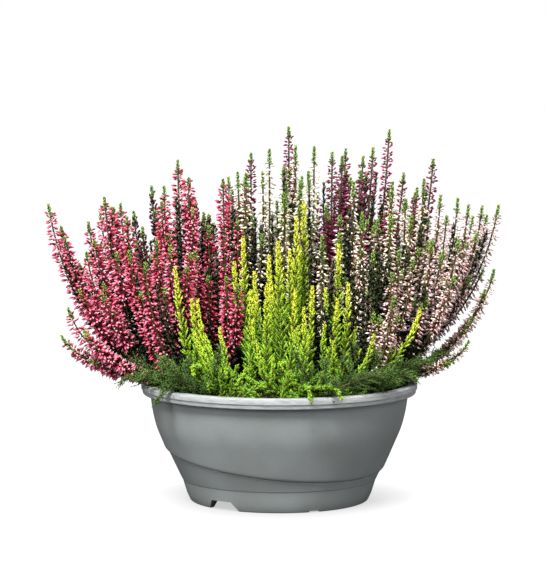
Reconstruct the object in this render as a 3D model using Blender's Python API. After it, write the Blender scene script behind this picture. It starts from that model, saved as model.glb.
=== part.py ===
"""A bowl planted with heathers: a round plastic bowl, its compost, and the leafy flowering sprays in it.

Units are metres, +Z is up, and the origin is the centre of the bowl's foot, on the surface it stands on.
The front of the planting, with the low lime shoots, faces -Y.
"""

import math

import bpy
import numpy as np
from mathutils.kdtree import KDTree

MM = 0.001

# Driving dimensions of the bowl
RIM_RADIUS = 125 * MM
BOWL_HEIGHT = 107 * MM
FOOT_RADIUS = 81 * MM
WALL = 2.6 * MM
FLOOR_UNDERSIDE = 10.5 * MM
FLOOR_THICKNESS = 3 * MM
RIM_WIDTH = 8.5 * MM
RIM_DEPTH = 9.7 * MM
RIM_GROOVE_HEIGHT = 5.8 * MM  # from the rim's top down to the step in its band
RIM_STEP = 0.9 * MM  # how far the band stands back below that step, and a little more at its lower edge
RIM_LEAN = 0.5 * MM
RIM_EDGE = 0.8 * MM
BOWL_SIDES = 36

# The wave line that runs round the bowl, where the wall steps out; it is highest at the left and back
WAVE_MIDDLE = 40 * MM
WAVE_SWING = 12.3 * MM
WAVE_LOW_ANGLE = math.radians(-42)
WAVE_STEP = 2.5 * MM
WAVE_STEP_HEIGHT = 3 * MM
FOOT_LINE = 20 * MM
FOOT_LINE_STEP = 0.7 * MM
FOOT_LINE_HEIGHT = 0.8 * MM

# Outer radius of the bowl at a few heights, without the steps; between them it is a smooth curve
PROFILE_HEIGHTS = (0, 10 * MM, 20 * MM, 30 * MM, 40 * MM, 53 * MM, 67 * MM, 82 * MM, 98 * MM)
PROFILE_RADII = (
    81 * MM, 85 * MM, 87.7 * MM, 92.5 * MM, 97.3 * MM, 103.4 * MM, 109.7 * MM, 114.1 * MM, 117 * MM,
)

# Water gaps through the foot as (angle, width, height), and drain holes in the floor
FOOT_GAPS = (
    (math.radians(-128), 36 * MM, 8.4 * MM),
    (math.radians(52), 36 * MM, 8.4 * MM),
    (math.radians(-67.5), 15 * MM, 1.4 * MM),
    (math.radians(112.5), 15 * MM, 1.4 * MM),
)
FOOT_GAP_NARROWING = 0.40  # share of a gap's width that is lost at its top
FOOT_RING_WIDTH = 7 * MM
DRAIN_COUNT = 5
DRAIN_RADIUS = 5 * MM
DRAIN_RING_RADIUS = 42 * MM

# Compost
SOIL_EDGE_HEIGHT = 96 * MM
SOIL_CROWN_HEIGHT = 100 * MM
SEAT_GAP = 0.35 * MM
STEM_HOLE_DEPTH = 14 * MM
STEM_HOLE_RADIUS = 3.3 * MM
STEM_HOLE_SIDES = 4

# How the shoots are laid out
ROOT_REACH = 97 * MM
ROOT_SPACING = 17.5 * MM
ROOT_SHARE = 0.80  # how far out towards its tips a spray is rooted
ROOT_ROUNDS = 400
ROOT_PUSH = 0.4
START_HEIGHT = 3 * MM  # of a path's first point above the compost
LOW_LEAN = 0.60  # share of a shoot's lean that its lower part aims for
HIGH_LEAN = 0.10  # share of the lean that is left to its upper part
HIGH_RISE = 0.45  # share of the rise over which that upper part straightens
LIFT_BY_RISE = 0.04
LIFT_BY_LEAN = 0.13
MAIN_LIFT = 10 * MM
SIDE_LIFT = 8 * MM
SPILL_RISE = 40 * MM  # a shoot that rises less than this arches over the rim
SPILL_ARCH = 14 * MM
SPILL_LEAN = 0.22
SHOOT_GAP = 0.9 * MM
PATH_POINTS = 22
FINE_POINTS = 60
FORK_CLEAR = 12 * MM

# How the shoots are bent apart
SPREAD_ROUNDS = 140
ROUNDS_PER_SEARCH = 12
SEARCH_MARGIN = 8 * MM
PUSH_SHARE = 0.35  # of an overlap that one round takes away
LIFT_SHARE = 0.4  # how much of that push may go up or down
MOST_PUSH = 2 * MM
CLEAR_SHARE = 0.6  # of an overlap with the bowl that one round takes away
SMOOTHING = 0.30
FOOT_FREEDOM = 0.6  # how freely a shoot moves at its first bend
TIP_FREEDOM = 0.25  # how freely its tip moves sideways
TIP_ROOM = 2.2 * MM

# What each plant's shoots are like. reach: how far a floret or leaf stands out from the shoot's middle,
# core: the radius of the stem there, pitch: the length of stem that six of them share,
# rise: how far they point up, tip: the bare green end, share: the part of the shoot that carries them.
PLANTS = {
    "pink": dict(reach=5.9 * MM, core=2.1 * MM, pitch=17.2 * MM, rise=2.4 * MM, tip=14 * MM, share=0.60),
    "maroon": dict(reach=5.0 * MM, core=2.0 * MM, pitch=18 * MM, rise=3.2 * MM, tip=8 * MM, share=0.45),
    "white": dict(reach=5.3 * MM, core=2.0 * MM, pitch=17.2 * MM, rise=1.8 * MM, tip=15 * MM, share=0.60),
    "purple": dict(reach=5.1 * MM, core=2.0 * MM, pitch=18 * MM, rise=2.6 * MM, tip=14 * MM, share=0.50),
    "rose": dict(reach=5.3 * MM, core=2.0 * MM, pitch=17.2 * MM, rise=2.2 * MM, tip=12 * MM, share=0.60),
    "lime": dict(reach=6.4 * MM, core=2.3 * MM, pitch=16 * MM, rise=6.0 * MM, tip=8 * MM, share=0.80),
    "green": dict(reach=5.2 * MM, core=1.9 * MM, pitch=17.2 * MM, rise=4.0 * MM, tip=6 * MM, share=0.75),
}
STEM_RADIUS = 1.75 * MM
STEM_PITCH = 26 * MM
FORK_PITCH = 9 * MM
FORK_OFFSET = 4.5 * MM
TIP_RADIUS = 1.3 * MM
TIP_TAPER = 5 * MM
LOOK_ALONG = 3 * MM  # how far each way a stem's direction is read from its path

# Each spray: its plant, then the tip of each of its shoots as (x, y, z) in millimetres.
SPRAYS = (
    ("pink", (-205, -35, 270), (-196, -12, 249)),
    ("pink", (-187, -50, 179), (-195, -28, 152)),
    ("pink", (-172, -30, 227), (-157, -10, 275)),
    ("pink", (-175, 36, 250), (-166, 61, 258)),
    ("pink", (-152, 41, 263), (-143, -5, 269)),
    ("pink", (-133, -45, 229), (-118, -62, 220)),
    ("pink", (-109, -35, 238), (-105, 26, 283)),
    ("pink", (-92, 16, 307), (-96, -60, 235)),
    ("pink", (-75, -30, 228), (-64, 21, 247)),
    ("pink", (-51, 16, 290), (-47, -42, 206), (-43, 41, 278)),
    ("pink", (-154, 96, 229), (-113, 106, 242)),
    ("maroon", (-135, 67, 258), (-126, 47, 245)),
    ("maroon", (-118, 57, 282), (-85, 52, 264)),
    ("maroon", (-78, 77, 268), (-71, 100, 255)),
    ("white", (-38, 32, 296), (-30, 0, 296)),
    ("white", (-15, 42, 296), (-9, 24, 317)),
    ("white", (5, -5, 278), (-2, 42, 269)),
    ("white", (19, 5, 289), (15, 52, 319)),
    ("white", (32, 37, 319), (26, 0, 298)),
    ("white", (38, -32, 242), (54, -15, 243)),
    ("white", (67, 0, 288), (74, -26, 262)),
    ("white", (102, 0, 288), (99, -32, 260)),
    ("white", (132, 27, 290), (118, -20, 259)),
    ("white", (-13, 110, 265), (20, 130, 274)),
    ("purple", (-26, 68, 312), (-47, 74, 289)),
    ("purple", (9, 78, 336), (36, 72, 275)),
    ("purple", (49, 60, 313), (59, 86, 308), (43, 36, 265)),
    ("purple", (63, 110, 314), (76, 80, 295)),
    ("purple", (79, 100, 308), (87, 64, 317)),
    ("purple", (103, 88, 333), (115, 56, 294)),
    ("purple", (142, 54, 307), (147, 24, 223), (129, 82, 279)),
    ("purple", (58, 132, 278), (105, 132, 274)),
    ("rose", (147, 23, 275), (136, -26, 237)),
    ("rose", (163, 28, 272), (178, 43, 255)),
    ("rose", (170, -10, 268), (145, -17, 223)),
    ("rose", (187, 48, 264), (204, 68, 264)),
    ("rose", (197, 32, 207), (170, -25, 147)),
    ("rose", (106, -46, 229), (88, -22, 256)),
    ("rose", (118, -50, 222), (100, -76, 190)),
    ("rose", (174, 94, 224), (151, 106, 242)),
    ("lime", (-91, -72, 217), (-78, -44, 170), (-74, -101, 124)),
    ("lime", (-72, -76, 188), (-74, -96, 163), (-46, -116, 124)),
    ("lime", (-32, -35, 241), (-25, -60, 196)),
    ("lime", (-11, -86, 202), (-9, -54, 226)),
    ("lime", (-1, -76, 239), (9, -50, 230)),
    ("lime", (15, -32, 257), (22, -16, 271)),
    ("lime", (14, -88, 199), (-19, -116, 154), (2, -126, 132)),
    ("lime", (29, -70, 199), (21, -100, 184)),
    ("lime", (51, -70, 189), (53, -32, 233)),
    ("lime", (61, -50, 201), (47, -106, 156)),
    ("lime", (82, -90, 159), (124, -60, 179)),
    ("lime", (53, -134, 108), (27, -138, 105)),
    ("green", (-142, -50, 110), (-153, -22, 119)),
    ("green", (-108, -84, 97), (-126, -68, 116)),
    ("green", (153, -10, 130), (135, -42, 126)),
    ("green", (121, -76, 117), (104, -98, 118)),
    ("green", (-98, 112, 122), (-45, 132, 112)),
    ("green", (35, 132, 113), (92, 116, 124)),
)

# Linear colour, roughness and metallic value of each finish
FINISHES = {
    "grey_plastic": ((0.165, 0.175, 0.170), 0.42, 0.0),
    "compost": ((0.020, 0.012, 0.008), 0.95, 0.0),
    "leaf": ((0.050, 0.115, 0.025), 0.60, 0.0),
    "pink": ((0.640, 0.045, 0.160), 0.55, 0.0),
    "maroon": ((0.070, 0.014, 0.030), 0.60, 0.0),
    "white": ((0.780, 0.640, 0.600), 0.60, 0.0),
    "purple": ((0.270, 0.022, 0.130), 0.55, 0.0),
    "rose": ((0.650, 0.420, 0.420), 0.60, 0.0),
    "lime": ((0.420, 0.560, 0.045), 0.55, 0.0),
    "green": ((0.040, 0.090, 0.025), 0.60, 0.0),
}


# Shapes of the bowl as formulas

def smooth_profile(height):
    """Outer radius of the bowl at a height: a smooth curve through the listed heights, without its steps."""
    slopes = np.gradient(PROFILE_RADII, PROFILE_HEIGHTS)
    k = int(np.clip(np.searchsorted(PROFILE_HEIGHTS, height) - 1, 0, len(PROFILE_HEIGHTS) - 2))
    span = PROFILE_HEIGHTS[k + 1] - PROFILE_HEIGHTS[k]
    t = min(max((height - PROFILE_HEIGHTS[k]) / span, 0), 1)
    start, end = PROFILE_RADII[k], PROFILE_RADII[k + 1]
    return (
        start * (2 * t**3 - 3 * t**2 + 1)
        + end * (3 * t**2 - 2 * t**3)
        + span * slopes[k] * (t**3 - 2 * t**2 + t)
        + span * slopes[k + 1] * (t**3 - t**2)
    )


def wave_height(angle):
    """Height of the wave line at an angle round the bowl."""
    return WAVE_MIDDLE - WAVE_SWING * math.cos(angle - WAVE_LOW_ANGLE)


def inner_radius(height):
    return smooth_profile(height) - WALL


SOIL_RADIUS = inner_radius(SOIL_EDGE_HEIGHT)


def soil_height(radius):
    """Height of the gently domed compost at a distance, or distances, from the middle."""
    share = np.minimum(np.asarray(radius) / SOIL_RADIUS, 1)
    return SOIL_CROWN_HEIGHT + (SOIL_EDGE_HEIGHT - SOIL_CROWN_HEIGHT) * share**2


def bowl_section(angle):
    """The bowl's cut outline at an angle as (radius, height): up the outside, then down the inside."""
    wave = wave_height(angle)
    below_wave = wave - WAVE_STEP_HEIGHT
    floor_top = FLOOR_UNDERSIDE + FLOOR_THICKNESS
    band_bottom = BOWL_HEIGHT - RIM_DEPTH
    groove = BOWL_HEIGHT - RIM_GROOVE_HEIGHT
    recess = FOOT_RADIUS - FOOT_RING_WIDTH
    outside = [
        (recess, FLOOR_UNDERSIDE),
        (recess + 1 * MM, 0),
        (FOOT_RADIUS - 1.2 * MM, 0),
        (FOOT_RADIUS + 0.3 * MM, 1.6 * MM),
        (smooth_profile(FOOT_LINE), FOOT_LINE - FOOT_LINE_HEIGHT),
        (smooth_profile(FOOT_LINE) + FOOT_LINE_STEP, FOOT_LINE),
        (smooth_profile(below_wave) + FOOT_LINE_STEP, below_wave),
        (smooth_profile(wave) + WAVE_STEP, wave),
    ]
    for share in (0.3, 0.62):
        height = wave + share * (band_bottom - wave)
        outside.append((smooth_profile(height) + WAVE_STEP * (1 - share), height))
    outside += [
        (smooth_profile(band_bottom), band_bottom),
        (RIM_RADIUS - RIM_STEP - RIM_LEAN, band_bottom),
        (RIM_RADIUS - RIM_STEP, groove),
        (RIM_RADIUS, groove),
        (RIM_RADIUS, BOWL_HEIGHT - RIM_EDGE),
        (RIM_RADIUS - RIM_EDGE, BOWL_HEIGHT),
        (RIM_RADIUS - RIM_WIDTH, BOWL_HEIGHT),
    ]
    inside = [(inner_radius(height), height) for height in (92 * MM, 60 * MM, 32 * MM)]
    inside.append((inner_radius(floor_top) - 4 * MM, floor_top))
    return outside + inside


# Meshes

def material(name):
    """A Principled material with the finish's colour, roughness and metallic value."""
    colour, roughness, metallic = FINISHES[name]
    made = bpy.data.materials.get(name) or bpy.data.materials.new(name)
    made.use_nodes = True
    shader = made.node_tree.nodes["Principled BSDF"]
    shader.inputs["Base Color"].default_value = (*colour, 1)
    shader.inputs["Roughness"].default_value = roughness
    shader.inputs["Metallic"].default_value = metallic
    made.diffuse_color = (*colour, 1)
    return made


def add_object(name, points, faces, finishes, face_finish=None):
    """Links a mesh object with the named finishes; face_finish gives each face's finish by its index."""
    mesh = bpy.data.meshes.new(name)
    mesh.from_pydata([tuple(map(float, p)) for p in points], [], faces)
    for finish in finishes:
        mesh.materials.append(material(finish))
    if face_finish is not None:
        mesh.polygons.foreach_set("material_index", face_finish)
    mesh.update()
    made = bpy.data.objects.new(name, mesh)
    bpy.context.scene.collection.objects.link(made)
    return made


def turned(name, section_at, finish, sides=BOWL_SIDES):
    """A closed body whose cut outline at each angle is section_at(angle), from its bottom to its top."""
    outlines = [section_at(2 * math.pi * side / sides) for side in range(sides)]
    rows = len(outlines[0])
    points = []
    for side, outline in enumerate(outlines):
        angle = 2 * math.pi * side / sides
        points += [(radius * math.cos(angle), radius * math.sin(angle), height) for radius, height in outline]
    faces = []
    for side in range(sides):
        here, there = side * rows, (side + 1) % sides * rows
        faces += [(here + row, there + row, there + row + 1, here + row + 1) for row in range(rows - 1)]
    faces.append([side * rows for side in reversed(range(sides))])
    faces.append([side * rows + rows - 1 for side in range(sides)])
    return add_object(name, points, faces, [finish])


def prism_points(sides, radius, low, high, centre):
    """Corners of an upright prism, the low ring first."""
    ring = [2 * math.pi * (side + 0.25) / sides for side in range(sides)]
    return [
        (centre[0] + radius * math.cos(a), centre[1] + radius * math.sin(a), height)
        for height in (low, high)
        for a in ring
    ]


def prism_faces(sides, first=0):
    faces = [[first + side for side in reversed(range(sides))], [first + sides + side for side in range(sides)]]
    for side in range(sides):
        after = (side + 1) % sides
        faces.append([first + side, first + after, first + sides + after, first + sides + side])
    return faces


def cut(body, cutter):
    """Takes the cutter out of the body, and removes the cutter."""
    modifier = body.modifiers.new("cut", "BOOLEAN")
    modifier.operation = "DIFFERENCE"
    modifier.solver = "EXACT"
    modifier.object = cutter
    graph = bpy.context.evaluated_depsgraph_get()
    result = bpy.data.meshes.new_from_object(body.evaluated_get(graph))
    body.modifiers.clear()
    old, body.data = body.data, result
    bpy.data.meshes.remove(old)
    bpy.data.objects.remove(cutter)


def build_bowl():
    bowl = turned("bowl", bowl_section, "grey_plastic")
    for angle, width, top in FOOT_GAPS:
        # A long bar along the radius, its sides leaning in towards the top
        half = width / 2
        half_top = half * (1 - FOOT_GAP_NARROWING)
        along = np.array([math.cos(angle), math.sin(angle), 0])
        across = np.array([-math.sin(angle), math.cos(angle), 0])
        start, end = FOOT_RADIUS - 2 * FOOT_RING_WIDTH, FOOT_RADIUS + FOOT_RING_WIDTH
        outline = [(-half, -2 * MM), (half, -2 * MM), (half_top, top), (-half_top, top)]
        points = [r * along + s * across + np.array([0, 0, h]) for r in (start, end) for s, h in outline]
        faces = [(3, 2, 1, 0), (4, 5, 6, 7)] + [(k, (k + 1) % 4, (k + 1) % 4 + 4, k + 4) for k in range(4)]
        cut(bowl, add_object("foot_gap_cutter", points, faces, ["grey_plastic"]))
    points, faces = [], []
    for hole in range(DRAIN_COUNT):
        angle = 2 * math.pi * (hole + 0.5) / DRAIN_COUNT
        centre = (DRAIN_RING_RADIUS * math.cos(angle), DRAIN_RING_RADIUS * math.sin(angle))
        faces += prism_faces(8, len(points))
        low, high = FLOOR_UNDERSIDE - 2 * MM, FLOOR_UNDERSIDE + FLOOR_THICKNESS + 2 * MM
        points += prism_points(8, DRAIN_RADIUS, low, high, centre)
    cut(bowl, add_object("drain_cutter", points, faces, ["grey_plastic"]))
    bowl.data.shade_smooth()
    bowl.data.set_sharp_from_angle(angle=math.radians(28))
    return bowl


def soil_section(_angle):
    """The compost's cut outline, a seat gap inside the bowl's wall."""
    side = [(inner_radius(height) - SEAT_GAP, height) for height in (32 * MM, 60 * MM)]
    edge = SOIL_RADIUS - 1.6 * SEAT_GAP
    floor = FLOOR_UNDERSIDE + FLOOR_THICKNESS
    bottom = (inner_radius(floor) - 4 * MM - 2 * SEAT_GAP, floor + SEAT_GAP)
    top = [(radius, float(soil_height(radius))) for radius in (edge, 0.55 * edge)]
    return [bottom] + side + top


def build_compost(roots):
    compost = turned("compost", soil_section, "compost")
    points, faces = [], []
    for x, y in roots:
        top = float(soil_height(math.hypot(x, y)))
        faces += prism_faces(STEM_HOLE_SIDES, len(points))
        low, high = top - STEM_HOLE_DEPTH, top + 3 * MM
        points += prism_points(STEM_HOLE_SIDES, STEM_HOLE_RADIUS, low, high, (x, y))
    cut(compost, add_object("hole_cutter", points, faces, ["compost"]))
    return compost


# Layout of the shoots

def spread_roots(tips):
    """Where each spray leaves the compost: under its shoots, inside the bowl, and clear of its neighbours."""
    roots = np.array([tip[:, :2].mean(axis=0) * ROOT_SHARE for tip in tips])
    for _ in range(ROOT_ROUNDS):
        apart = roots[:, None] - roots[None]
        distance = np.linalg.norm(apart, axis=2) + np.eye(len(roots))
        push = np.clip(ROOT_SPACING - distance, 0, None) * (1 - np.eye(len(roots)))
        roots += ROOT_PUSH * (apart / distance[..., None] * push[..., None]).sum(axis=1)
        reach = np.linalg.norm(roots, axis=1)
        roots *= np.minimum(1, ROOT_REACH / reach)[:, None]
    return roots


def bezier(a, b, c, d, count):
    t = np.linspace(0, 1, count)[:, None]
    return (1 - t) ** 3 * a + 3 * (1 - t) ** 2 * t * b + 3 * (1 - t) * t**2 * c + t**3 * d


def even_points(path, count):
    """The same line with points evenly spaced along it."""
    steps = np.linalg.norm(np.diff(path, axis=0), axis=1)
    along = np.concatenate([[0], np.cumsum(steps)])
    wanted = np.linspace(0, along[-1], count)
    return np.stack([np.interp(wanted, along, path[:, axis]) for axis in range(3)], axis=1)


def level(vector):
    """The vector laid flat and made one long."""
    flat = np.array([vector[0], vector[1], 0])
    return flat / max(np.linalg.norm(flat), 1e-9)


def first_path(start, tip, up_first):
    """A shoot's line before it is spread: it leans out low, then turns up to its tip."""
    across = np.array([tip[0] - start[0], tip[1] - start[1], 0])
    lean, rise = np.linalg.norm(across), tip[2] - start[2]
    lift = up_first + LIFT_BY_RISE * rise + LIFT_BY_LEAN * lean
    second = start + LOW_LEAN * across + np.array([0, 0, lift])
    third = tip - HIGH_LEAN * across - np.array([0, 0, HIGH_RISE * max(rise, 0)])
    if rise < SPILL_RISE:
        third = tip - SPILL_LEAN * across + np.array([0, 0, SPILL_ARCH])
    return even_points(bezier(start, second, third, tip, FINE_POINTS), PATH_POINTS)


def push_off_bowl(points, radius):
    """How far each point has to move to stay clear of the rim and above the compost."""
    move = np.zeros_like(points)
    away = np.hypot(points[:, 0], points[:, 1])
    near_r = np.clip(away, RIM_RADIUS - RIM_WIDTH - 3 * MM, RIM_RADIUS)
    near_z = np.clip(points[:, 2], 0, BOWL_HEIGHT)
    dr, dz = away - near_r, points[:, 2] - near_z
    distance = np.hypot(dr, dz)
    short = radius + SHOOT_GAP - distance
    inside = distance < 1e-6
    unit_r = np.where(inside, 0, dr / np.maximum(distance, 1e-6))
    unit_z = np.where(inside, 1, dz / np.maximum(distance, 1e-6))
    short = np.clip(short, 0, None)
    move[:, 0] = short * unit_r * points[:, 0] / away
    move[:, 1] = short * unit_r * points[:, 1] / away
    move[:, 2] = short * unit_z
    floor = soil_height(away) + radius + SHOOT_GAP
    move[:, 2] += np.where(away < RIM_RADIUS - RIM_WIDTH, np.clip(floor - points[:, 2], 0, None), 0)
    return move


def close_pairs(flat, need, skip):
    """Pairs of path points, of different shoots, that are close enough to touch within the next few rounds."""
    square = (flat**2).sum(axis=1)
    gap = square[:, None] + square[None] - 2 * flat @ flat.T
    return np.nonzero((gap < (need + SEARCH_MARGIN) ** 2) & ~skip)


def spread_paths(paths, radii, spray_of):
    """Bends the shoots apart until their florets and leaves are clear, keeping roots and tips in place."""
    count = len(paths)
    start = np.array(paths)
    moved = np.zeros_like(start)
    spacing = np.linalg.norm(start[:, 1] - start[:, 0], axis=1)
    along = np.arange(PATH_POINTS)[None] * spacing[:, None]
    free = np.ones((count, PATH_POINTS, 3))
    free[:, :2] = 0
    free[:, 2] = FOOT_FREEDOM
    free[:, -1, 2] = 0
    free[:, -1, 0] = TIP_FREEDOM
    reach = np.array(radii).ravel()
    owner = np.repeat(np.arange(count), PATH_POINTS)
    spray = np.array(spray_of)[owner]
    fork = (along < FORK_CLEAR).ravel()
    skip = (owner[:, None] == owner[None]) | ((spray[:, None] == spray[None]) & (fork[:, None] | fork[None]))
    need = (reach[:, None] + reach[None] + SHOOT_GAP).astype(np.float32)
    for turn in range(SPREAD_ROUNDS):
        flat = (start + moved).reshape(-1, 3)
        if turn % ROUNDS_PER_SEARCH == 0:
            near_a, near_b = close_pairs(flat, need, skip)
            room = need[near_a, near_b]
        apart = flat[near_a] - flat[near_b]
        distance = np.maximum(np.linalg.norm(apart, axis=1), 1e-5)
        push = PUSH_SHARE * np.clip(room - distance, 0, None) / distance
        apart[:, 2] *= LIFT_SHARE
        apart *= push[:, None]
        step = np.stack([np.bincount(near_a, apart[:, axis], len(flat)) for axis in range(3)], axis=1)
        length = np.maximum(np.linalg.norm(step, axis=1), 1e-9)
        step *= np.minimum(1, MOST_PUSH / length)[:, None]
        clear = push_off_bowl(flat, reach).reshape(start.shape)
        moved += (step.reshape(start.shape) + CLEAR_SHARE * clear) * free
        middle = 0.5 * (moved[:, :-2] + moved[:, 2:]) - moved[:, 1:-1]
        moved[:, 1:-1] += SMOOTHING * middle * free[:, 1:-1]
    return start + moved


def shoot_reach(plant, length):
    """Radius that a shoot fills at each of its path points."""
    style = PLANTS[plant]
    from_tip = np.linspace(length, 0, PATH_POINTS)
    dressed = from_tip < style["share"] * length + style["pitch"]
    radius = np.where(dressed, style["reach"], STEM_RADIUS + 0.3 * MM)
    return np.where(from_tip < style["tip"], TIP_ROOM, radius)


def lay_out():
    """Every spray as its plant, its root, and the paths of its shoots, the main one first."""
    tips = [np.array(spray[1:]) * MM for spray in SPRAYS]
    roots = spread_roots(tips)
    paths, radii, spray_of = [], [], []
    for index, (spray, ends) in enumerate(zip(SPRAYS, tips, strict=True)):
        root = roots[index]
        ground = soil_height(math.hypot(*root))
        start = np.array([*root, ground + START_HEIGHT])
        main = first_path(start, ends[0], MAIN_LIFT)
        for branch, tip in enumerate(ends):
            path = main
            if branch:
                # A side shoot leaves the main one square to its lean, on the side that its own tip is on;
                # a second one leaves on the other side.
                fork = start + np.array([0, 0, (branch - 0.4) * FORK_PITCH])
                lean = level(main[6] - main[0])
                square = np.array([-lean[1], lean[0], 0])
                if branch == 1:
                    side = math.copysign(1, square.dot(tip - ends[0]))
                aside = square * side * (FORK_OFFSET if branch == 1 else -FORK_OFFSET)
                path = first_path(fork + aside, tip, SIDE_LIFT)
                path = even_points(np.vstack([fork, fork + aside, path[1:]]), PATH_POINTS)
            length = np.linalg.norm(np.diff(path, axis=0), axis=1).sum()
            paths.append(path)
            radii.append(shoot_reach(spray[0], length))
            spray_of.append(index)
    spread = spread_paths(paths, radii, spray_of)
    laid = []
    for index, spray in enumerate(SPRAYS):
        members = [k for k in range(len(paths)) if spray_of[k] == index]
        laid.append((spray[0], roots[index], [spread[k] for k in members]))
    return laid


# Shoots as meshes

class Neighbours:
    """Looks up how near a point is to the middle line of its own shoot and of every other one."""

    def __init__(self, lines):
        dense = [even_points(line, FINE_POINTS) for line in lines]
        self.tree = KDTree(sum(len(line) for line in dense))
        self.owner = []
        for index, line in enumerate(dense):
            for point in line:
                self.tree.insert(point, len(self.owner))
                self.owner.append(index)
        self.tree.balance()

    def room_for(self, point, shoot, distance):
        """Whether the point, at a distance from its own shoot's middle, stays clear of every neighbour."""
        for _, index, away in self.tree.find_range(point, distance + SHOOT_GAP):
            if self.owner[index] != shoot and away < distance + 0.5 * SHOOT_GAP:
                return False
        beside = math.hypot(point[0], point[1])
        if beside < RIM_RADIUS + SEAT_GAP * 2 and point[2] < BOWL_HEIGHT + SEAT_GAP * 2:
            if beside > SOIL_RADIUS - 2 * SEAT_GAP or point[2] < soil_height(beside) + SEAT_GAP:
                return False
        return True


def frames_along(path, stations):
    """Points, directions and side vectors of a line at distances from its start, with the least twist."""
    steps = np.linalg.norm(np.diff(path, axis=0), axis=1)
    along = np.concatenate([[0], np.cumsum(steps)])
    fine = np.stack([np.interp(stations, along, path[:, axis]) for axis in range(3)], axis=1)
    ahead, behind = np.add(stations, LOOK_ALONG), np.subtract(stations, LOOK_ALONG)
    direction = np.stack(
        [np.interp(ahead, along, path[:, k]) - np.interp(behind, along, path[:, k]) for k in range(3)], axis=1
    )
    direction /= np.linalg.norm(direction, axis=1)[:, None]
    side = np.cross(direction[0], (0.31, 0.92, 0.23))
    sides = []
    for toward in direction:
        side = side - toward * side.dot(toward)
        side = side / np.linalg.norm(side)
        sides.append(side)
    return fine, direction, np.array(sides)


def stations_of(length, style, start, forks):
    """Distances along a shoot for its rings, each with its radius and whether florets stand above it."""
    bare_end = length - max(style["tip"], TIP_TAPER)
    stem_start = start + forks * FORK_PITCH
    dressed_start = max(bare_end - style["share"] * length, stem_start + 6 * MM)
    bare_steps = max(1, round((dressed_start - stem_start) / STEM_PITCH))
    dressed_steps = max(1, round((bare_end - dressed_start) / style["pitch"]))
    stem = stem_start + (dressed_start - stem_start) * np.linspace(0, 1, bare_steps + 1)[:-1] ** 1.3
    rings = [(start + fork * FORK_PITCH, STEM_RADIUS, False) for fork in range(forks)]
    rings += [(s, STEM_RADIUS, False) for s in stem]
    rings += [(s, style["core"], True) for s in np.linspace(dressed_start, bare_end, dressed_steps + 1)[:-1]]
    rings.append((bare_end, TIP_RADIUS, False))
    return rings


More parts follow.
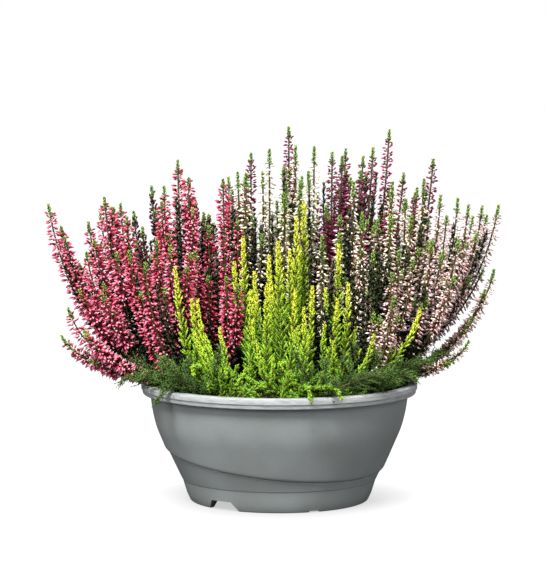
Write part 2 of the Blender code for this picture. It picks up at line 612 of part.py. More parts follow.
class ShootMesh:
    """A closed mesh of shoots: rings of three corners, turned by a sixth, whose faces can be drawn out."""

    def __init__(self, style, draw, neighbours):
        self.style = style
        self.draw = draw
        self.neighbours = neighbours
        self.points = []
        self.faces = []  # corners and finish; None where another shoot has grown
        self.bare = []

    def middle(self, corners):
        return sum(self.points[corner] for corner in corners) / 3

    def add_ring(self, middle, toward, side, radius, twist):
        cross = np.cross(toward, side)
        first = len(self.points)
        for corner in range(3):
            angle = twist + 2 * math.pi * corner / 3
            self.points.append(middle + radius * (math.cos(angle) * side + math.sin(angle) * cross))
        return [first, first + 1, first + 2]

    def draw_out(self, corners, start, toward, shoot):
        """Draws a face of the stem out to a point, as far as there is room; returns whether there was any."""
        middle = self.middle(corners)
        on_axis = start + toward * (middle - start).dot(toward)
        out = (middle - on_axis) / np.linalg.norm(middle - on_axis)
        reach = self.style["reach"] * self.draw.uniform(0.85, 1.0)
        rise = self.style["rise"] * self.draw.uniform(0.7, 1.3)
        for share in (1, 0.8, 0.62, 0.5):
            tip = on_axis + out * reach * share + toward * rise * share
            if self.neighbours.room_for(tip, shoot, reach * share):
                apex = len(self.points)
                self.points.append(tip)
                a, b, c = corners
                self.faces += [((a, b, apex), 1), ((b, c, apex), 1), ((c, a, apex), 1)]
                return True
        return False

    def grow(self, path, shoot, base=None, forks=0):
        """Grows a shoot along a path, from a root end of its own, or out of the three corners of base."""
        length = np.linalg.norm(np.diff(path, axis=0), axis=1).sum()
        if base is None:
            above_ground = STEM_HOLE_DEPTH + 2 * MM
            rings = [(0, STEM_RADIUS, False)] + stations_of(length, self.style, above_ground, forks)
        else:
            rings = stations_of(length, self.style, 7 * MM, 0)
        middles, directions, sides = frames_along(path, [ring[0] for ring in rings])
        if base is not None:
            # The first ring is turned to match the face that it grows from.
            lead = self.points[base[0]] - self.middle(base)
            for k, toward in enumerate(directions):
                lead = lead - toward * lead.dot(toward)
                lead /= np.linalg.norm(lead)
                sides[k] = lead
        below, start = base, None if base is None else self.middle(base)
        dressed_below = False
        for k, (_, radius, dressed) in enumerate(rings):
            ring = self.add_ring(middles[k], directions[k], sides[k], radius, math.pi / 3 * (k % 2))
            if below is None:
                self.faces.append(((ring[2], ring[1], ring[0]), 0))
            else:
                self.join(below, ring, k % 2 == 1 or k == 0, start, dressed_below, shoot)
            below, start, dressed_below = ring, middles[k], dressed
        apex = len(self.points)
        self.points.append(path[-1])
        for corner in range(3):
            self.faces.append(((below[corner], below[(corner + 1) % 3], apex), 0))

    def join(self, below, ring, upright, start, dressed, shoot):
        """Joins two rings with six faces, drawn out to points where the stem is dressed."""
        toward = self.middle(ring) - start
        toward /= np.linalg.norm(toward)
        for corner in range(3):
            after = (corner + 1) % 3
            a, b, c, d = below[corner], below[after], ring[corner], ring[after]
            pair = [(a, b, c), (c, b, d)] if upright else [(a, d, c), (a, b, d)]
            for corners in pair:
                if dressed and self.draw_out(corners, start, toward, shoot):
                    continue
                self.faces.append((corners, 0))
                if not dressed:
                    self.bare.append(len(self.faces) - 1)

    def branch(self, path, shoot):
        """Grows another shoot out of the bare face that is nearest its start and faces its way."""
        toward = level(path[1] - path[0])

        def fitness(index):
            a, b, c = (self.points[corner] for corner in self.faces[index][0])
            normal = np.cross(b - a, c - a)
            normal /= np.linalg.norm(normal)
            return normal.dot(toward) - np.linalg.norm((a + b + c) / 3 - path[0]) / (6 * MM)

        chosen = max(self.bare, key=fitness)
        base = self.faces[chosen][0]
        self.faces[chosen] = None
        seat = self.middle(base)
        line = np.vstack([seat, seat + (path[1] - path[0]), path[2:]])
        main_bare, self.bare = self.bare, []
        self.grow(line, shoot, base)
        self.bare = [index for index in main_bare if index != chosen]

    def add_to_scene(self, name, finishes):
        kept = [face for face in self.faces if face is not None]
        corners, face_finish = zip(*kept, strict=True)
        return add_object(name, self.points, corners, finishes, face_finish)


def build_sprays(laid):
    """One closed body per spray: its main shoot up from its hole, the others growing out of that one."""
    draw = np.random.default_rng(17)
    lines = []
    for _, root, paths in laid:
        foot = np.array([*root, soil_height(math.hypot(*root)) - STEM_HOLE_DEPTH + SEAT_GAP])
        lines += [np.vstack([foot, paths[0]])] + list(paths[1:])
    neighbours = Neighbours(lines)
    counts = {}
    shoot = 0
    for plant, root, paths in laid:
        counts[plant] = counts.get(plant, 0) + 1
        mesh = ShootMesh(PLANTS[plant], draw, neighbours)
        mesh.grow(lines[shoot], shoot, forks=len(paths) - 1)
        for branch in range(1, len(paths)):
            mesh.branch(lines[shoot + branch], shoot + branch)
        shoot += len(paths)
        leaf = plant if plant in ("lime", "green") else "leaf"
        mesh.add_to_scene(f"{plant}_spray_{counts[plant]:02d}", [leaf, plant])


def main():
    for old in list(bpy.data.objects):
        bpy.data.objects.remove(old)
    laid = lay_out()
    build_bowl()
    build_compost([root for _, root, _ in laid])
    build_sprays(laid)


main()
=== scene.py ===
"""The looks of the heather bowl: its moulded plastic, its crumbly compost, and every bud, leaf and stem.

Metres, +Z up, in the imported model's frame: the origin is the centre of the bowl's foot, the front faces -Y.
The shoots follow the same lines as the solids that they stand for.
"""

import math

import bpy
import numpy as np
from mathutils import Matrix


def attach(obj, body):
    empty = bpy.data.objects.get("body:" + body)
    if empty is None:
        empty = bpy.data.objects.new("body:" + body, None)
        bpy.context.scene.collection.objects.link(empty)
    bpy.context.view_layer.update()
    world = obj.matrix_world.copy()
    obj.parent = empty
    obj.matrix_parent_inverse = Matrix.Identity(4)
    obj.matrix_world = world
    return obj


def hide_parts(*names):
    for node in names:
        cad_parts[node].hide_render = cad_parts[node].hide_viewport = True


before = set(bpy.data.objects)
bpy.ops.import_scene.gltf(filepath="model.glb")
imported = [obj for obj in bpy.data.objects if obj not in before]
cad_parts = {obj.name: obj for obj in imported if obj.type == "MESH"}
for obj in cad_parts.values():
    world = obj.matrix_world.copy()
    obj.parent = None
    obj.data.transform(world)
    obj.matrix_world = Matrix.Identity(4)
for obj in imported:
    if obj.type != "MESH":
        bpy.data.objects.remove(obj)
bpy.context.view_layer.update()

MM = 0.001
DEGREE = math.pi / 180

# Driving dimensions of the bowl
RIM_RADIUS = 125 * MM
BOWL_HEIGHT = 107 * MM
FOOT_RADIUS = 81 * MM
WALL = 2.6 * MM
FLOOR_UNDERSIDE = 10.5 * MM
FLOOR_THICKNESS = 3 * MM
RIM_WIDTH = 8.5 * MM
RIM_DEPTH = 9.7 * MM
RIM_GROOVE_HEIGHT = 5.8 * MM  # from the rim's top down to the step in its band
RIM_STEP = 0.9 * MM  # how far the band stands back below that step, and a little more at its lower edge
RIM_LEAN = 0.5 * MM
BOWL_SIDES = 144
BODY_ROWS = 14

# The wave line that runs round the bowl, where the wall steps out; it is highest at the left and back
WAVE_MIDDLE = 40 * MM
WAVE_SWING = 12.3 * MM
WAVE_LOW_ANGLE = math.radians(-42)
WAVE_STEP = 2.5 * MM
WAVE_STEP_HEIGHT = 3 * MM
CREASE_DEPTH = 0.25 * MM  # of the fine groove under the wave's step
CREASE_WIDTH = 0.7 * MM
FINE_STEP_HEIGHT = 1.6 * MM  # the wave's step as it is moulded, a little sharper than in the plain solid
FOOT_LINE = 20 * MM
FOOT_LINE_STEP = 0.7 * MM
FOOT_LINE_HEIGHT = 0.8 * MM

# Outer radius of the bowl at a few heights, without the steps; between them it is a smooth curve
PROFILE_HEIGHTS = (0, 10 * MM, 20 * MM, 30 * MM, 40 * MM, 53 * MM, 67 * MM, 82 * MM, 98 * MM)
PROFILE_RADII = (
    81 * MM, 85 * MM, 87.7 * MM, 92.5 * MM, 97.3 * MM, 103.4 * MM, 109.7 * MM, 114.1 * MM, 117 * MM,
)

# Water gaps through the foot as (angle, width, height), and drain holes in the floor
FOOT_GAPS = (
    (math.radians(-128), 36 * MM, 8.4 * MM),
    (math.radians(52), 36 * MM, 8.4 * MM),
    (math.radians(-67.5), 15 * MM, 1.4 * MM),
    (math.radians(112.5), 15 * MM, 1.4 * MM),
)
FOOT_GAP_NARROWING = 0.40  # share of a gap's width that is lost at its top
FOOT_RING_WIDTH = 7 * MM
DRAIN_COUNT = 5
DRAIN_RADIUS = 5 * MM
DRAIN_SIDES = 24
DRAIN_RING_RADIUS = 42 * MM

# Compost
SOIL_EDGE_HEIGHT = 96 * MM
SOIL_CROWN_HEIGHT = 100 * MM
SEAT_GAP = 0.35 * MM
STEM_HOLE_DEPTH = 14 * MM
SOIL_SIDES = 96
SOIL_ROWS = 40
# Loose crumbs on the compost: how many, their length, how wide they are for it, and their finish
CRUMBS = ((1200, (1.4 * MM, 3.4 * MM), 1.0, 0), (170, (3 * MM, 7 * MM), 0.5, 1))

# How the shoots are laid out
ROOT_REACH = 97 * MM
ROOT_SPACING = 17.5 * MM
ROOT_SHARE = 0.80  # how far out towards its tips a spray is rooted
ROOT_ROUNDS = 400
ROOT_PUSH = 0.4
START_HEIGHT = 3 * MM  # of a path's first point above the compost
LOW_LEAN = 0.60  # share of a shoot's lean that its lower part aims for
HIGH_LEAN = 0.10  # share of the lean that is left to its upper part
HIGH_RISE = 0.45  # share of the rise over which that upper part straightens
LIFT_BY_RISE = 0.04
LIFT_BY_LEAN = 0.13
MAIN_LIFT = 10 * MM
SIDE_LIFT = 8 * MM
SPILL_RISE = 40 * MM  # a shoot that rises less than this arches over the rim
SPILL_ARCH = 14 * MM
SPILL_LEAN = 0.22
SHOOT_GAP = 0.9 * MM
PATH_POINTS = 22
FINE_POINTS = 60
FORK_CLEAR = 12 * MM

# How the shoots are bent apart
SPREAD_ROUNDS = 140
ROUNDS_PER_SEARCH = 12
SEARCH_MARGIN = 8 * MM
PUSH_SHARE = 0.35  # of an overlap that one round takes away
LIFT_SHARE = 0.4  # how much of that push may go up or down
MOST_PUSH = 2 * MM
CLEAR_SHARE = 0.6  # of an overlap with the bowl that one round takes away
SMOOTHING = 0.30
FOOT_FREEDOM = 0.6  # how freely a shoot moves at its first bend
TIP_FREEDOM = 0.25  # how freely its tip moves sideways
TIP_ROOM = 2.2 * MM

# What each plant's shoots are like. reach: how far a floret or leaf stands out from the shoot's middle,
# core: the radius of the stem there, pitch: the length of stem that six of them share,
# rise: how far they point up, tip: the bare green end, share: the part of the shoot that carries them.
PLANTS = {
    "pink": dict(reach=5.9 * MM, core=2.1 * MM, pitch=17.2 * MM, rise=2.4 * MM, tip=14 * MM, share=0.60),
    "maroon": dict(reach=5.0 * MM, core=2.0 * MM, pitch=18 * MM, rise=3.2 * MM, tip=8 * MM, share=0.45),
    "white": dict(reach=5.3 * MM, core=2.0 * MM, pitch=17.2 * MM, rise=1.8 * MM, tip=15 * MM, share=0.60),
    "purple": dict(reach=5.1 * MM, core=2.0 * MM, pitch=18 * MM, rise=2.6 * MM, tip=14 * MM, share=0.50),
    "rose": dict(reach=5.3 * MM, core=2.0 * MM, pitch=17.2 * MM, rise=2.2 * MM, tip=12 * MM, share=0.60),
    "lime": dict(reach=6.4 * MM, core=2.3 * MM, pitch=16 * MM, rise=6.0 * MM, tip=8 * MM, share=0.80),
    "green": dict(reach=5.2 * MM, core=1.9 * MM, pitch=17.2 * MM, rise=4.0 * MM, tip=6 * MM, share=0.75),
}
STEM_RADIUS = 1.75 * MM
FORK_PITCH = 9 * MM
FORK_OFFSET = 4.5 * MM

# Each spray: its plant, then the tip of each of its shoots as (x, y, z) in millimetres.
SPRAYS = (
    ("pink", (-205, -35, 270), (-196, -12, 249)),
    ("pink", (-187, -50, 179), (-195, -28, 152)),
    ("pink", (-172, -30, 227), (-157, -10, 275)),
    ("pink", (-175, 36, 250), (-166, 61, 258)),
    ("pink", (-152, 41, 263), (-143, -5, 269)),
    ("pink", (-133, -45, 229), (-118, -62, 220)),
    ("pink", (-109, -35, 238), (-105, 26, 283)),
    ("pink", (-92, 16, 307), (-96, -60, 235)),
    ("pink", (-75, -30, 228), (-64, 21, 247)),
    ("pink", (-51, 16, 290), (-47, -42, 206), (-43, 41, 278)),
    ("pink", (-154, 96, 229), (-113, 106, 242)),
    ("maroon", (-135, 67, 258), (-126, 47, 245)),
    ("maroon", (-118, 57, 282), (-85, 52, 264)),
    ("maroon", (-78, 77, 268), (-71, 100, 255)),
    ("white", (-38, 32, 296), (-30, 0, 296)),
    ("white", (-15, 42, 296), (-9, 24, 317)),
    ("white", (5, -5, 278), (-2, 42, 269)),
    ("white", (19, 5, 289), (15, 52, 319)),
    ("white", (32, 37, 319), (26, 0, 298)),
    ("white", (38, -32, 242), (54, -15, 243)),
    ("white", (67, 0, 288), (74, -26, 262)),
    ("white", (102, 0, 288), (99, -32, 260)),
    ("white", (132, 27, 290), (118, -20, 259)),
    ("white", (-13, 110, 265), (20, 130, 274)),
    ("purple", (-26, 68, 312), (-47, 74, 289)),
    ("purple", (9, 78, 336), (36, 72, 275)),
    ("purple", (49, 60, 313), (59, 86, 308), (43, 36, 265)),
    ("purple", (63, 110, 314), (76, 80, 295)),
    ("purple", (79, 100, 308), (87, 64, 317)),
    ("purple", (103, 88, 333), (115, 56, 294)),
    ("purple", (142, 54, 307), (147, 24, 223), (129, 82, 279)),
    ("purple", (58, 132, 278), (105, 132, 274)),
    ("rose", (147, 23, 275), (136, -26, 237)),
    ("rose", (163, 28, 272), (178, 43, 255)),
    ("rose", (170, -10, 268), (145, -17, 223)),
    ("rose", (187, 48, 264), (204, 68, 264)),
    ("rose", (197, 32, 207), (170, -25, 147)),
    ("rose", (106, -46, 229), (88, -22, 256)),
    ("rose", (118, -50, 222), (100, -76, 190)),
    ("rose", (174, 94, 224), (151, 106, 242)),
    ("lime", (-91, -72, 217), (-78, -44, 170), (-74, -101, 124)),
    ("lime", (-72, -76, 188), (-74, -96, 163), (-46, -116, 124)),
    ("lime", (-32, -35, 241), (-25, -60, 196)),
    ("lime", (-11, -86, 202), (-9, -54, 226)),
    ("lime", (-1, -76, 239), (9, -50, 230)),
    ("lime", (15, -32, 257), (22, -16, 271)),
    ("lime", (14, -88, 199), (-19, -116, 154), (2, -126, 132)),
    ("lime", (29, -70, 199), (21, -100, 184)),
    ("lime", (51, -70, 189), (53, -32, 233)),
    ("lime", (61, -50, 201), (47, -106, 156)),
    ("lime", (82, -90, 159), (124, -60, 179)),
    ("lime", (53, -134, 108), (27, -138, 105)),
    ("green", (-142, -50, 110), (-153, -22, 119)),
    ("green", (-108, -84, 97), (-126, -68, 116)),
    ("green", (153, -10, 130), (135, -42, 126)),
    ("green", (121, -76, 117), (104, -98, 118)),
    ("green", (-98, 112, 122), (-45, 132, 112)),
    ("green", (35, 132, 113), (92, 116, 124)),
)

# Looks of the flowering shoots. bud: length and thickness of a bud, aim: how far buds point up from square to the
# stem, and how much that varies, pitch: distance between rings of buds, around: buds in a ring, flowers: the part of
# the shoot that flowers, spike: length of the leafy green end, sides: how many side shoots fill a shoot out.
FLOWERS = {
    "pink": dict(bud=(7.4 * MM, 2.5 * MM), aim=(2 * DEGREE, 20 * DEGREE), pitch=3.8 * MM, around=7,
                 flowers=0.64, spike=8 * MM, sides=3),
    "maroon": dict(bud=(5.4 * MM, 2.4 * MM), aim=(38 * DEGREE, 12 * DEGREE), pitch=3.2 * MM, around=6,
                   flowers=0.66, spike=7 * MM, sides=4),
    "white": dict(bud=(6.4 * MM, 2.1 * MM), aim=(-12 * DEGREE, 20 * DEGREE), pitch=4.3 * MM, around=5,
                  flowers=0.68, spike=12 * MM, sides=2),
    "purple": dict(bud=(5.8 * MM, 2.2 * MM), aim=(10 * DEGREE, 19 * DEGREE), pitch=3.7 * MM, around=6,
                   flowers=0.68, spike=8 * MM, sides=2),
    "rose": dict(bud=(6.4 * MM, 2.1 * MM), aim=(-12 * DEGREE, 20 * DEGREE), pitch=4.2 * MM, around=6,
                 flowers=0.66, spike=9 * MM, sides=3),
}
BUD_STRETCH = (0.75, 1.15)
BUDS_LACKING = (0.05, 0.08)  # share of the buds that are missing: on the old part, and more on the young one
YOUNG_BUDS = 15 * MM  # length of stem below the spike over which buds grow to full size
YOUNG_SHRINK = (0.36, 0.15)  # of the length and the thickness of the youngest buds
SPIKE_LEAF = (3.4 * MM, 1.9 * MM)
SPIKE_PITCH = 1.7 * MM
SIDE_SPIKE = 0.6  # length of a side shoot's spike, as a share of a main shoot's
STEM_LEAF = (3.4 * MM, 1.1 * MM)
STEM_LEAF_PITCH = 2.6 * MM
SPRIG_PITCH = 12 * MM
SPRIG_LENGTH = (12 * MM, 24 * MM)
STEM_THICK = (1.35 * MM, 0.75 * MM)  # radius of a stem at its root and below its spike
SIDE_SHOOT_OUT = (11 * MM, 18 * MM)
SIDE_SHOOT_START = (0.20, 0.50)
SIDE_SHOOT_END = (0.60, 0.95)

# Dark shoots without flowers that fill a flowering spray's inside, their near-black leaves painted shade for the
# gaps between the flowering shoots: how many to a shoot, where they start and end along it, how far they stand out
# from it, and their leaves
DARK_SHOOTS = 4
DARK_START = (0.04, 0.30)
DARK_END = (0.60, 0.90)
DARK_OUT = (3 * MM, 14 * MM)
DARK_LEAF = (8.0 * MM, 3.8 * MM)
DARK_PITCH = 4.4 * MM
DARK_SKIRT = dict(skirt=4, skirt_limit=104 * MM, skirt_rise=(50 * MM, 130 * MM))

# Looks of the branchlets. leaf: length and width, pitch: between rings of three leaves, body: thickness of the
# branchlet itself, lean: how far its leaves point along it, at its root and its end, bend: how far it turns up.
TWIGS = {
    "sprig": dict(leaf=(3.4 * MM, 1.0 * MM), pitch=2.8 * MM, body=0.8 * MM, lean=(0.55, 1.0), bend=0.15),
    "lime": dict(leaf=(2.3 * MM, 1.7 * MM), pitch=2.3 * MM, body=1.9 * MM, lean=(0.7, 1.1), bend=0.14),
    "green": dict(leaf=(3.6 * MM, 1.0 * MM), pitch=2.5 * MM, body=0.8 * MM, lean=(0.5, 1.0), bend=0.18),
}

# Looks of the leafy shoots. branch: length of a branchlet near the tip and further down, reach: how far below the
# tip they are at full length, pitch and around: their rings, angle: between branchlet and shoot, thick: the shoot's
# own radius, sides: how many side shoots fill a shoot out, skirt: how many low shoots stand round the spray's root,
# and how far from the bowl's middle and how high they reach.
FOLIAGE = {
    "lime": dict(branch=(3.6 * MM, 10.0 * MM), reach=66 * MM, pitch=4.2 * MM, around=3, angle=(26, 44),
                 thick=(1.3 * MM, 0.7 * MM), sides=1, skirt=4, skirt_limit=116 * MM, skirt_rise=(10 * MM, 38 * MM)),
    "green": dict(branch=(6.0 * MM, 14.0 * MM), reach=35 * MM, pitch=5.4 * MM, around=3, angle=(30, 54),
                  thick=(1.1 * MM, 0.5 * MM), sides=1, skirt=5, skirt_limit=142 * MM, skirt_rise=(22 * MM, 58 * MM)),
}
SKIRT_START = 5 * MM
SKIRT_REACH = (20 * MM, 55 * MM)
SKIRT_TURN = 1.9  # radians to either side of straight out from the bowl's middle
SKIRT_BACK = 112 * MM  # how far back they go
SKIRT_AGE = (0.15, 0.7)
LOW_YOUTH = 0.45  # how young the tip of a shoot looks that ends level with the rim
FULL_YOUTH = 80 * MM  # height above the rim from which tips look fully young

# Camera, light and floor
CAMERA_LENS = 157.7
CAMERA_PLACE = (-0.00567, -2.263, 0.391)
CAMERA_DOWN = 5.01 * DEGREE
PLANTING_HEIGHT = 336 * MM
WORLD_LIGHT = 0.18
FLOOR_SIZE = 40
FLOOR_GLOW = (0.55, 0.95)  # as the camera sees it, beside the bowl's foot and in the open
CONTACT_REACH = 45 * MM  # of the foot's soft shadow


# Shapes of the bowl as formulas

def smooth_profile(height):
    """Outer radius of the bowl at a height: a smooth curve through the listed heights, without its steps."""
    slopes = np.gradient(PROFILE_RADII, PROFILE_HEIGHTS)
    k = int(np.clip(np.searchsorted(PROFILE_HEIGHTS, height) - 1, 0, len(PROFILE_HEIGHTS) - 2))
    span = PROFILE_HEIGHTS[k + 1] - PROFILE_HEIGHTS[k]
    t = min(max((height - PROFILE_HEIGHTS[k]) / span, 0), 1)
    start, end = PROFILE_RADII[k], PROFILE_RADII[k + 1]
    return (
        start * (2 * t**3 - 3 * t**2 + 1)
        + end * (3 * t**2 - 2 * t**3)
        + span * slopes[k] * (t**3 - 2 * t**2 + t)
        + span * slopes[k + 1] * (t**3 - t**2)
    )


def wave_height(angle):
    """Height of the wave line at an angle round the bowl."""
    return WAVE_MIDDLE - WAVE_SWING * math.cos(angle - WAVE_LOW_ANGLE)


def inner_radius(height):
    return smooth_profile(height) - WALL


SOIL_RADIUS = inner_radius(SOIL_EDGE_HEIGHT)


def soil_height(radius):
    """Height of the gently domed compost at a distance, or distances, from the middle."""
    share = np.minimum(np.asarray(radius) / SOIL_RADIUS, 1)
    return SOIL_CROWN_HEIGHT + (SOIL_EDGE_HEIGHT - SOIL_CROWN_HEIGHT) * share**2


# Layout of the shoots

def spread_roots(tips):
    """Where each spray leaves the compost: under its shoots, inside the bowl, and clear of its neighbours."""
    roots = np.array([tip[:, :2].mean(axis=0) * ROOT_SHARE for tip in tips])
    for _ in range(ROOT_ROUNDS):
        apart = roots[:, None] - roots[None]
        distance = np.linalg.norm(apart, axis=2) + np.eye(len(roots))
        push = np.clip(ROOT_SPACING - distance, 0, None) * (1 - np.eye(len(roots)))
        roots += ROOT_PUSH * (apart / distance[..., None] * push[..., None]).sum(axis=1)
        reach = np.linalg.norm(roots, axis=1)
        roots *= np.minimum(1, ROOT_REACH / reach)[:, None]
    return roots


def bezier(a, b, c, d, count):
    t = np.linspace(0, 1, count)[:, None]
    return (1 - t) ** 3 * a + 3 * (1 - t) ** 2 * t * b + 3 * (1 - t) * t**2 * c + t**3 * d


def even_points(path, count):
    """The same line with points evenly spaced along it."""
    steps = np.linalg.norm(np.diff(path, axis=0), axis=1)
    along = np.concatenate([[0], np.cumsum(steps)])
    wanted = np.linspace(0, along[-1], count)
    return np.stack([np.interp(wanted, along, path[:, axis]) for axis in range(3)], axis=1)


def level(vector):
    """The vector laid flat and made one long."""
    flat = np.array([vector[0], vector[1], 0])
    return flat / max(np.linalg.norm(flat), 1e-9)


def first_path(start, tip, up_first):
    """A shoot's line before it is spread: it leans out low, then turns up to its tip."""
    across = np.array([tip[0] - start[0], tip[1] - start[1], 0])
    lean, rise = np.linalg.norm(across), tip[2] - start[2]
    lift = up_first + LIFT_BY_RISE * rise + LIFT_BY_LEAN * lean
    second = start + LOW_LEAN * across + np.array([0, 0, lift])
    third = tip - HIGH_LEAN * across - np.array([0, 0, HIGH_RISE * max(rise, 0)])
    if rise < SPILL_RISE:
        third = tip - SPILL_LEAN * across + np.array([0, 0, SPILL_ARCH])
    return even_points(bezier(start, second, third, tip, FINE_POINTS), PATH_POINTS)


def push_off_bowl(points, radius):
    """How far each point has to move to stay clear of the rim and above the compost."""
    move = np.zeros_like(points)
    away = np.hypot(points[:, 0], points[:, 1])
    near_r = np.clip(away, RIM_RADIUS - RIM_WIDTH - 3 * MM, RIM_RADIUS)
    near_z = np.clip(points[:, 2], 0, BOWL_HEIGHT)
    dr, dz = away - near_r, points[:, 2] - near_z
    distance = np.hypot(dr, dz)
    short = radius + SHOOT_GAP - distance
    inside = distance < 1e-6
    unit_r = np.where(inside, 0, dr / np.maximum(distance, 1e-6))
    unit_z = np.where(inside, 1, dz / np.maximum(distance, 1e-6))
    short = np.clip(short, 0, None)
    move[:, 0] = short * unit_r * points[:, 0] / away
    move[:, 1] = short * unit_r * points[:, 1] / away
    move[:, 2] = short * unit_z
    floor = soil_height(away) + radius + SHOOT_GAP
    move[:, 2] += np.where(away < RIM_RADIUS - RIM_WIDTH, np.clip(floor - points[:, 2], 0, None), 0)
    return move


def close_pairs(flat, need, skip):
    """Pairs of path points, of different shoots, that are close enough to touch within the next few rounds."""
    square = (flat**2).sum(axis=1)
    gap = square[:, None] + square[None] - 2 * flat @ flat.T
    return np.nonzero((gap < (need + SEARCH_MARGIN) ** 2) & ~skip)


def spread_paths(paths, radii, spray_of):
    """Bends the shoots apart until their florets and leaves are clear, keeping roots and tips in place."""
    count = len(paths)
    start = np.array(paths)
    moved = np.zeros_like(start)
    spacing = np.linalg.norm(start[:, 1] - start[:, 0], axis=1)
    along = np.arange(PATH_POINTS)[None] * spacing[:, None]
    free = np.ones((count, PATH_POINTS, 3))
    free[:, :2] = 0
    free[:, 2] = FOOT_FREEDOM
    free[:, -1, 2] = 0
    free[:, -1, 0] = TIP_FREEDOM
    reach = np.array(radii).ravel()
    owner = np.repeat(np.arange(count), PATH_POINTS)
    spray = np.array(spray_of)[owner]
    fork = (along < FORK_CLEAR).ravel()
    skip = (owner[:, None] == owner[None]) | ((spray[:, None] == spray[None]) & (fork[:, None] | fork[None]))
    need = (reach[:, None] + reach[None] + SHOOT_GAP).astype(np.float32)
    for turn in range(SPREAD_ROUNDS):
        flat = (start + moved).reshape(-1, 3)
        if turn % ROUNDS_PER_SEARCH == 0:
            near_a, near_b = close_pairs(flat, need, skip)
            room = need[near_a, near_b]
        apart = flat[near_a] - flat[near_b]
        distance = np.maximum(np.linalg.norm(apart, axis=1), 1e-5)
        push = PUSH_SHARE * np.clip(room - distance, 0, None) / distance
        apart[:, 2] *= LIFT_SHARE
        apart *= push[:, None]
        step = np.stack([np.bincount(near_a, apart[:, axis], len(flat)) for axis in range(3)], axis=1)
        length = np.maximum(np.linalg.norm(step, axis=1), 1e-9)
        step *= np.minimum(1, MOST_PUSH / length)[:, None]
        clear = push_off_bowl(flat, reach).reshape(start.shape)
        moved += (step.reshape(start.shape) + CLEAR_SHARE * clear) * free
        middle = 0.5 * (moved[:, :-2] + moved[:, 2:]) - moved[:, 1:-1]
        moved[:, 1:-1] += SMOOTHING * middle * free[:, 1:-1]
    return start + moved


def shoot_reach(plant, length):
    """Radius that a shoot fills at each of its path points."""
    style = PLANTS[plant]
    from_tip = np.linspace(length, 0, PATH_POINTS)
    dressed = from_tip < style["share"] * length + style["pitch"]
    radius = np.where(dressed, style["reach"], STEM_RADIUS + 0.3 * MM)
    return np.where(from_tip < style["tip"], TIP_ROOM, radius)


def lay_out():
    """Every spray as its plant, its root, and the paths of its shoots, the main one first."""
    tips = [np.array(spray[1:]) * MM for spray in SPRAYS]
    roots = spread_roots(tips)
    paths, radii, spray_of = [], [], []
    for index, (spray, ends) in enumerate(zip(SPRAYS, tips, strict=True)):
        root = roots[index]
        ground = soil_height(math.hypot(*root))
        start = np.array([*root, ground + START_HEIGHT])
        main = first_path(start, ends[0], MAIN_LIFT)
        for branch, tip in enumerate(ends):
            path = main
            if branch:
                # A side shoot leaves the main one square to its lean, on the side that its own tip is on;
                # a second one leaves on the other side.
                fork = start + np.array([0, 0, (branch - 0.4) * FORK_PITCH])
                lean = level(main[6] - main[0])
                square = np.array([-lean[1], lean[0], 0])
                if branch == 1:
                    side = math.copysign(1, square.dot(tip - ends[0]))
                aside = square * side * (FORK_OFFSET if branch == 1 else -FORK_OFFSET)
                path = first_path(fork + aside, tip, SIDE_LIFT)
                path = even_points(np.vstack([fork, fork + aside, path[1:]]), PATH_POINTS)
            length = np.linalg.norm(np.diff(path, axis=0), axis=1).sum()
            paths.append(path)
            radii.append(shoot_reach(spray[0], length))
            spray_of.append(index)
    spread = spread_paths(paths, radii, spray_of)
    laid = []
    for index, spray in enumerate(SPRAYS):
        members = [k for k in range(len(paths)) if spray_of[k] == index]
        laid.append((spray[0], roots[index], [spread[k] for k in members]))
    return laid


# Small shapes that are set out many times: one long and one wide, growing along +Z from their root

def spindle(sides, rows):
    """A closed pointed body; rows are the height and radius of its rings, between a root point and a tip point."""
    turns = 2 * math.pi * np.arange(sides) / sides
    rings = [np.stack([r * np.cos(turns), r * np.sin(turns), np.full(sides, z)], axis=1) for z, r in rows]
    points = np.vstack([[[0, 0, 0]], *rings, [[0, 0, 1]]])
    here = np.arange(sides)
    after = (here + 1) % sides
    tip = len(points) - 1
    faces = [np.stack([np.zeros(sides, int), 1 + after, 1 + here], axis=1)]
    for row in range(len(rows) - 1):
        low, high = 1 + row * sides, 1 + (row + 1) * sides
        faces.append(np.stack([low + here, low + after, high + after], axis=1))
        faces.append(np.stack([low + here, high + after, high + here], axis=1))
    top = 1 + (len(rows) - 1) * sides
    faces.append(np.stack([top + here, top + after, np.full(sides, tip)], axis=1))
    return points, np.vstack(faces)


def thorn():
    """The smallest leaf: a closed three-sided point."""
    turns = 2 * math.pi * (np.arange(3) + 0.25) / 3
    points = np.vstack([np.stack([0.5 * np.cos(turns), 0.5 * np.sin(turns), np.zeros(3)], axis=1), [[0, 0, 1]]])
    return points, np.array([(2, 1, 0), (0, 1, 3), (1, 2, 3), (2, 0, 3)])


BUD = spindle(3, ((0.62, 0.5),))
LEAF = spindle(3, ((0.45, 0.5),))
TWIG = spindle(3, ((0.15, 0.42), (0.80, 0.48)))
THORN = thorn()
CRUMB = spindle(4, ((0.5, 0.5),))


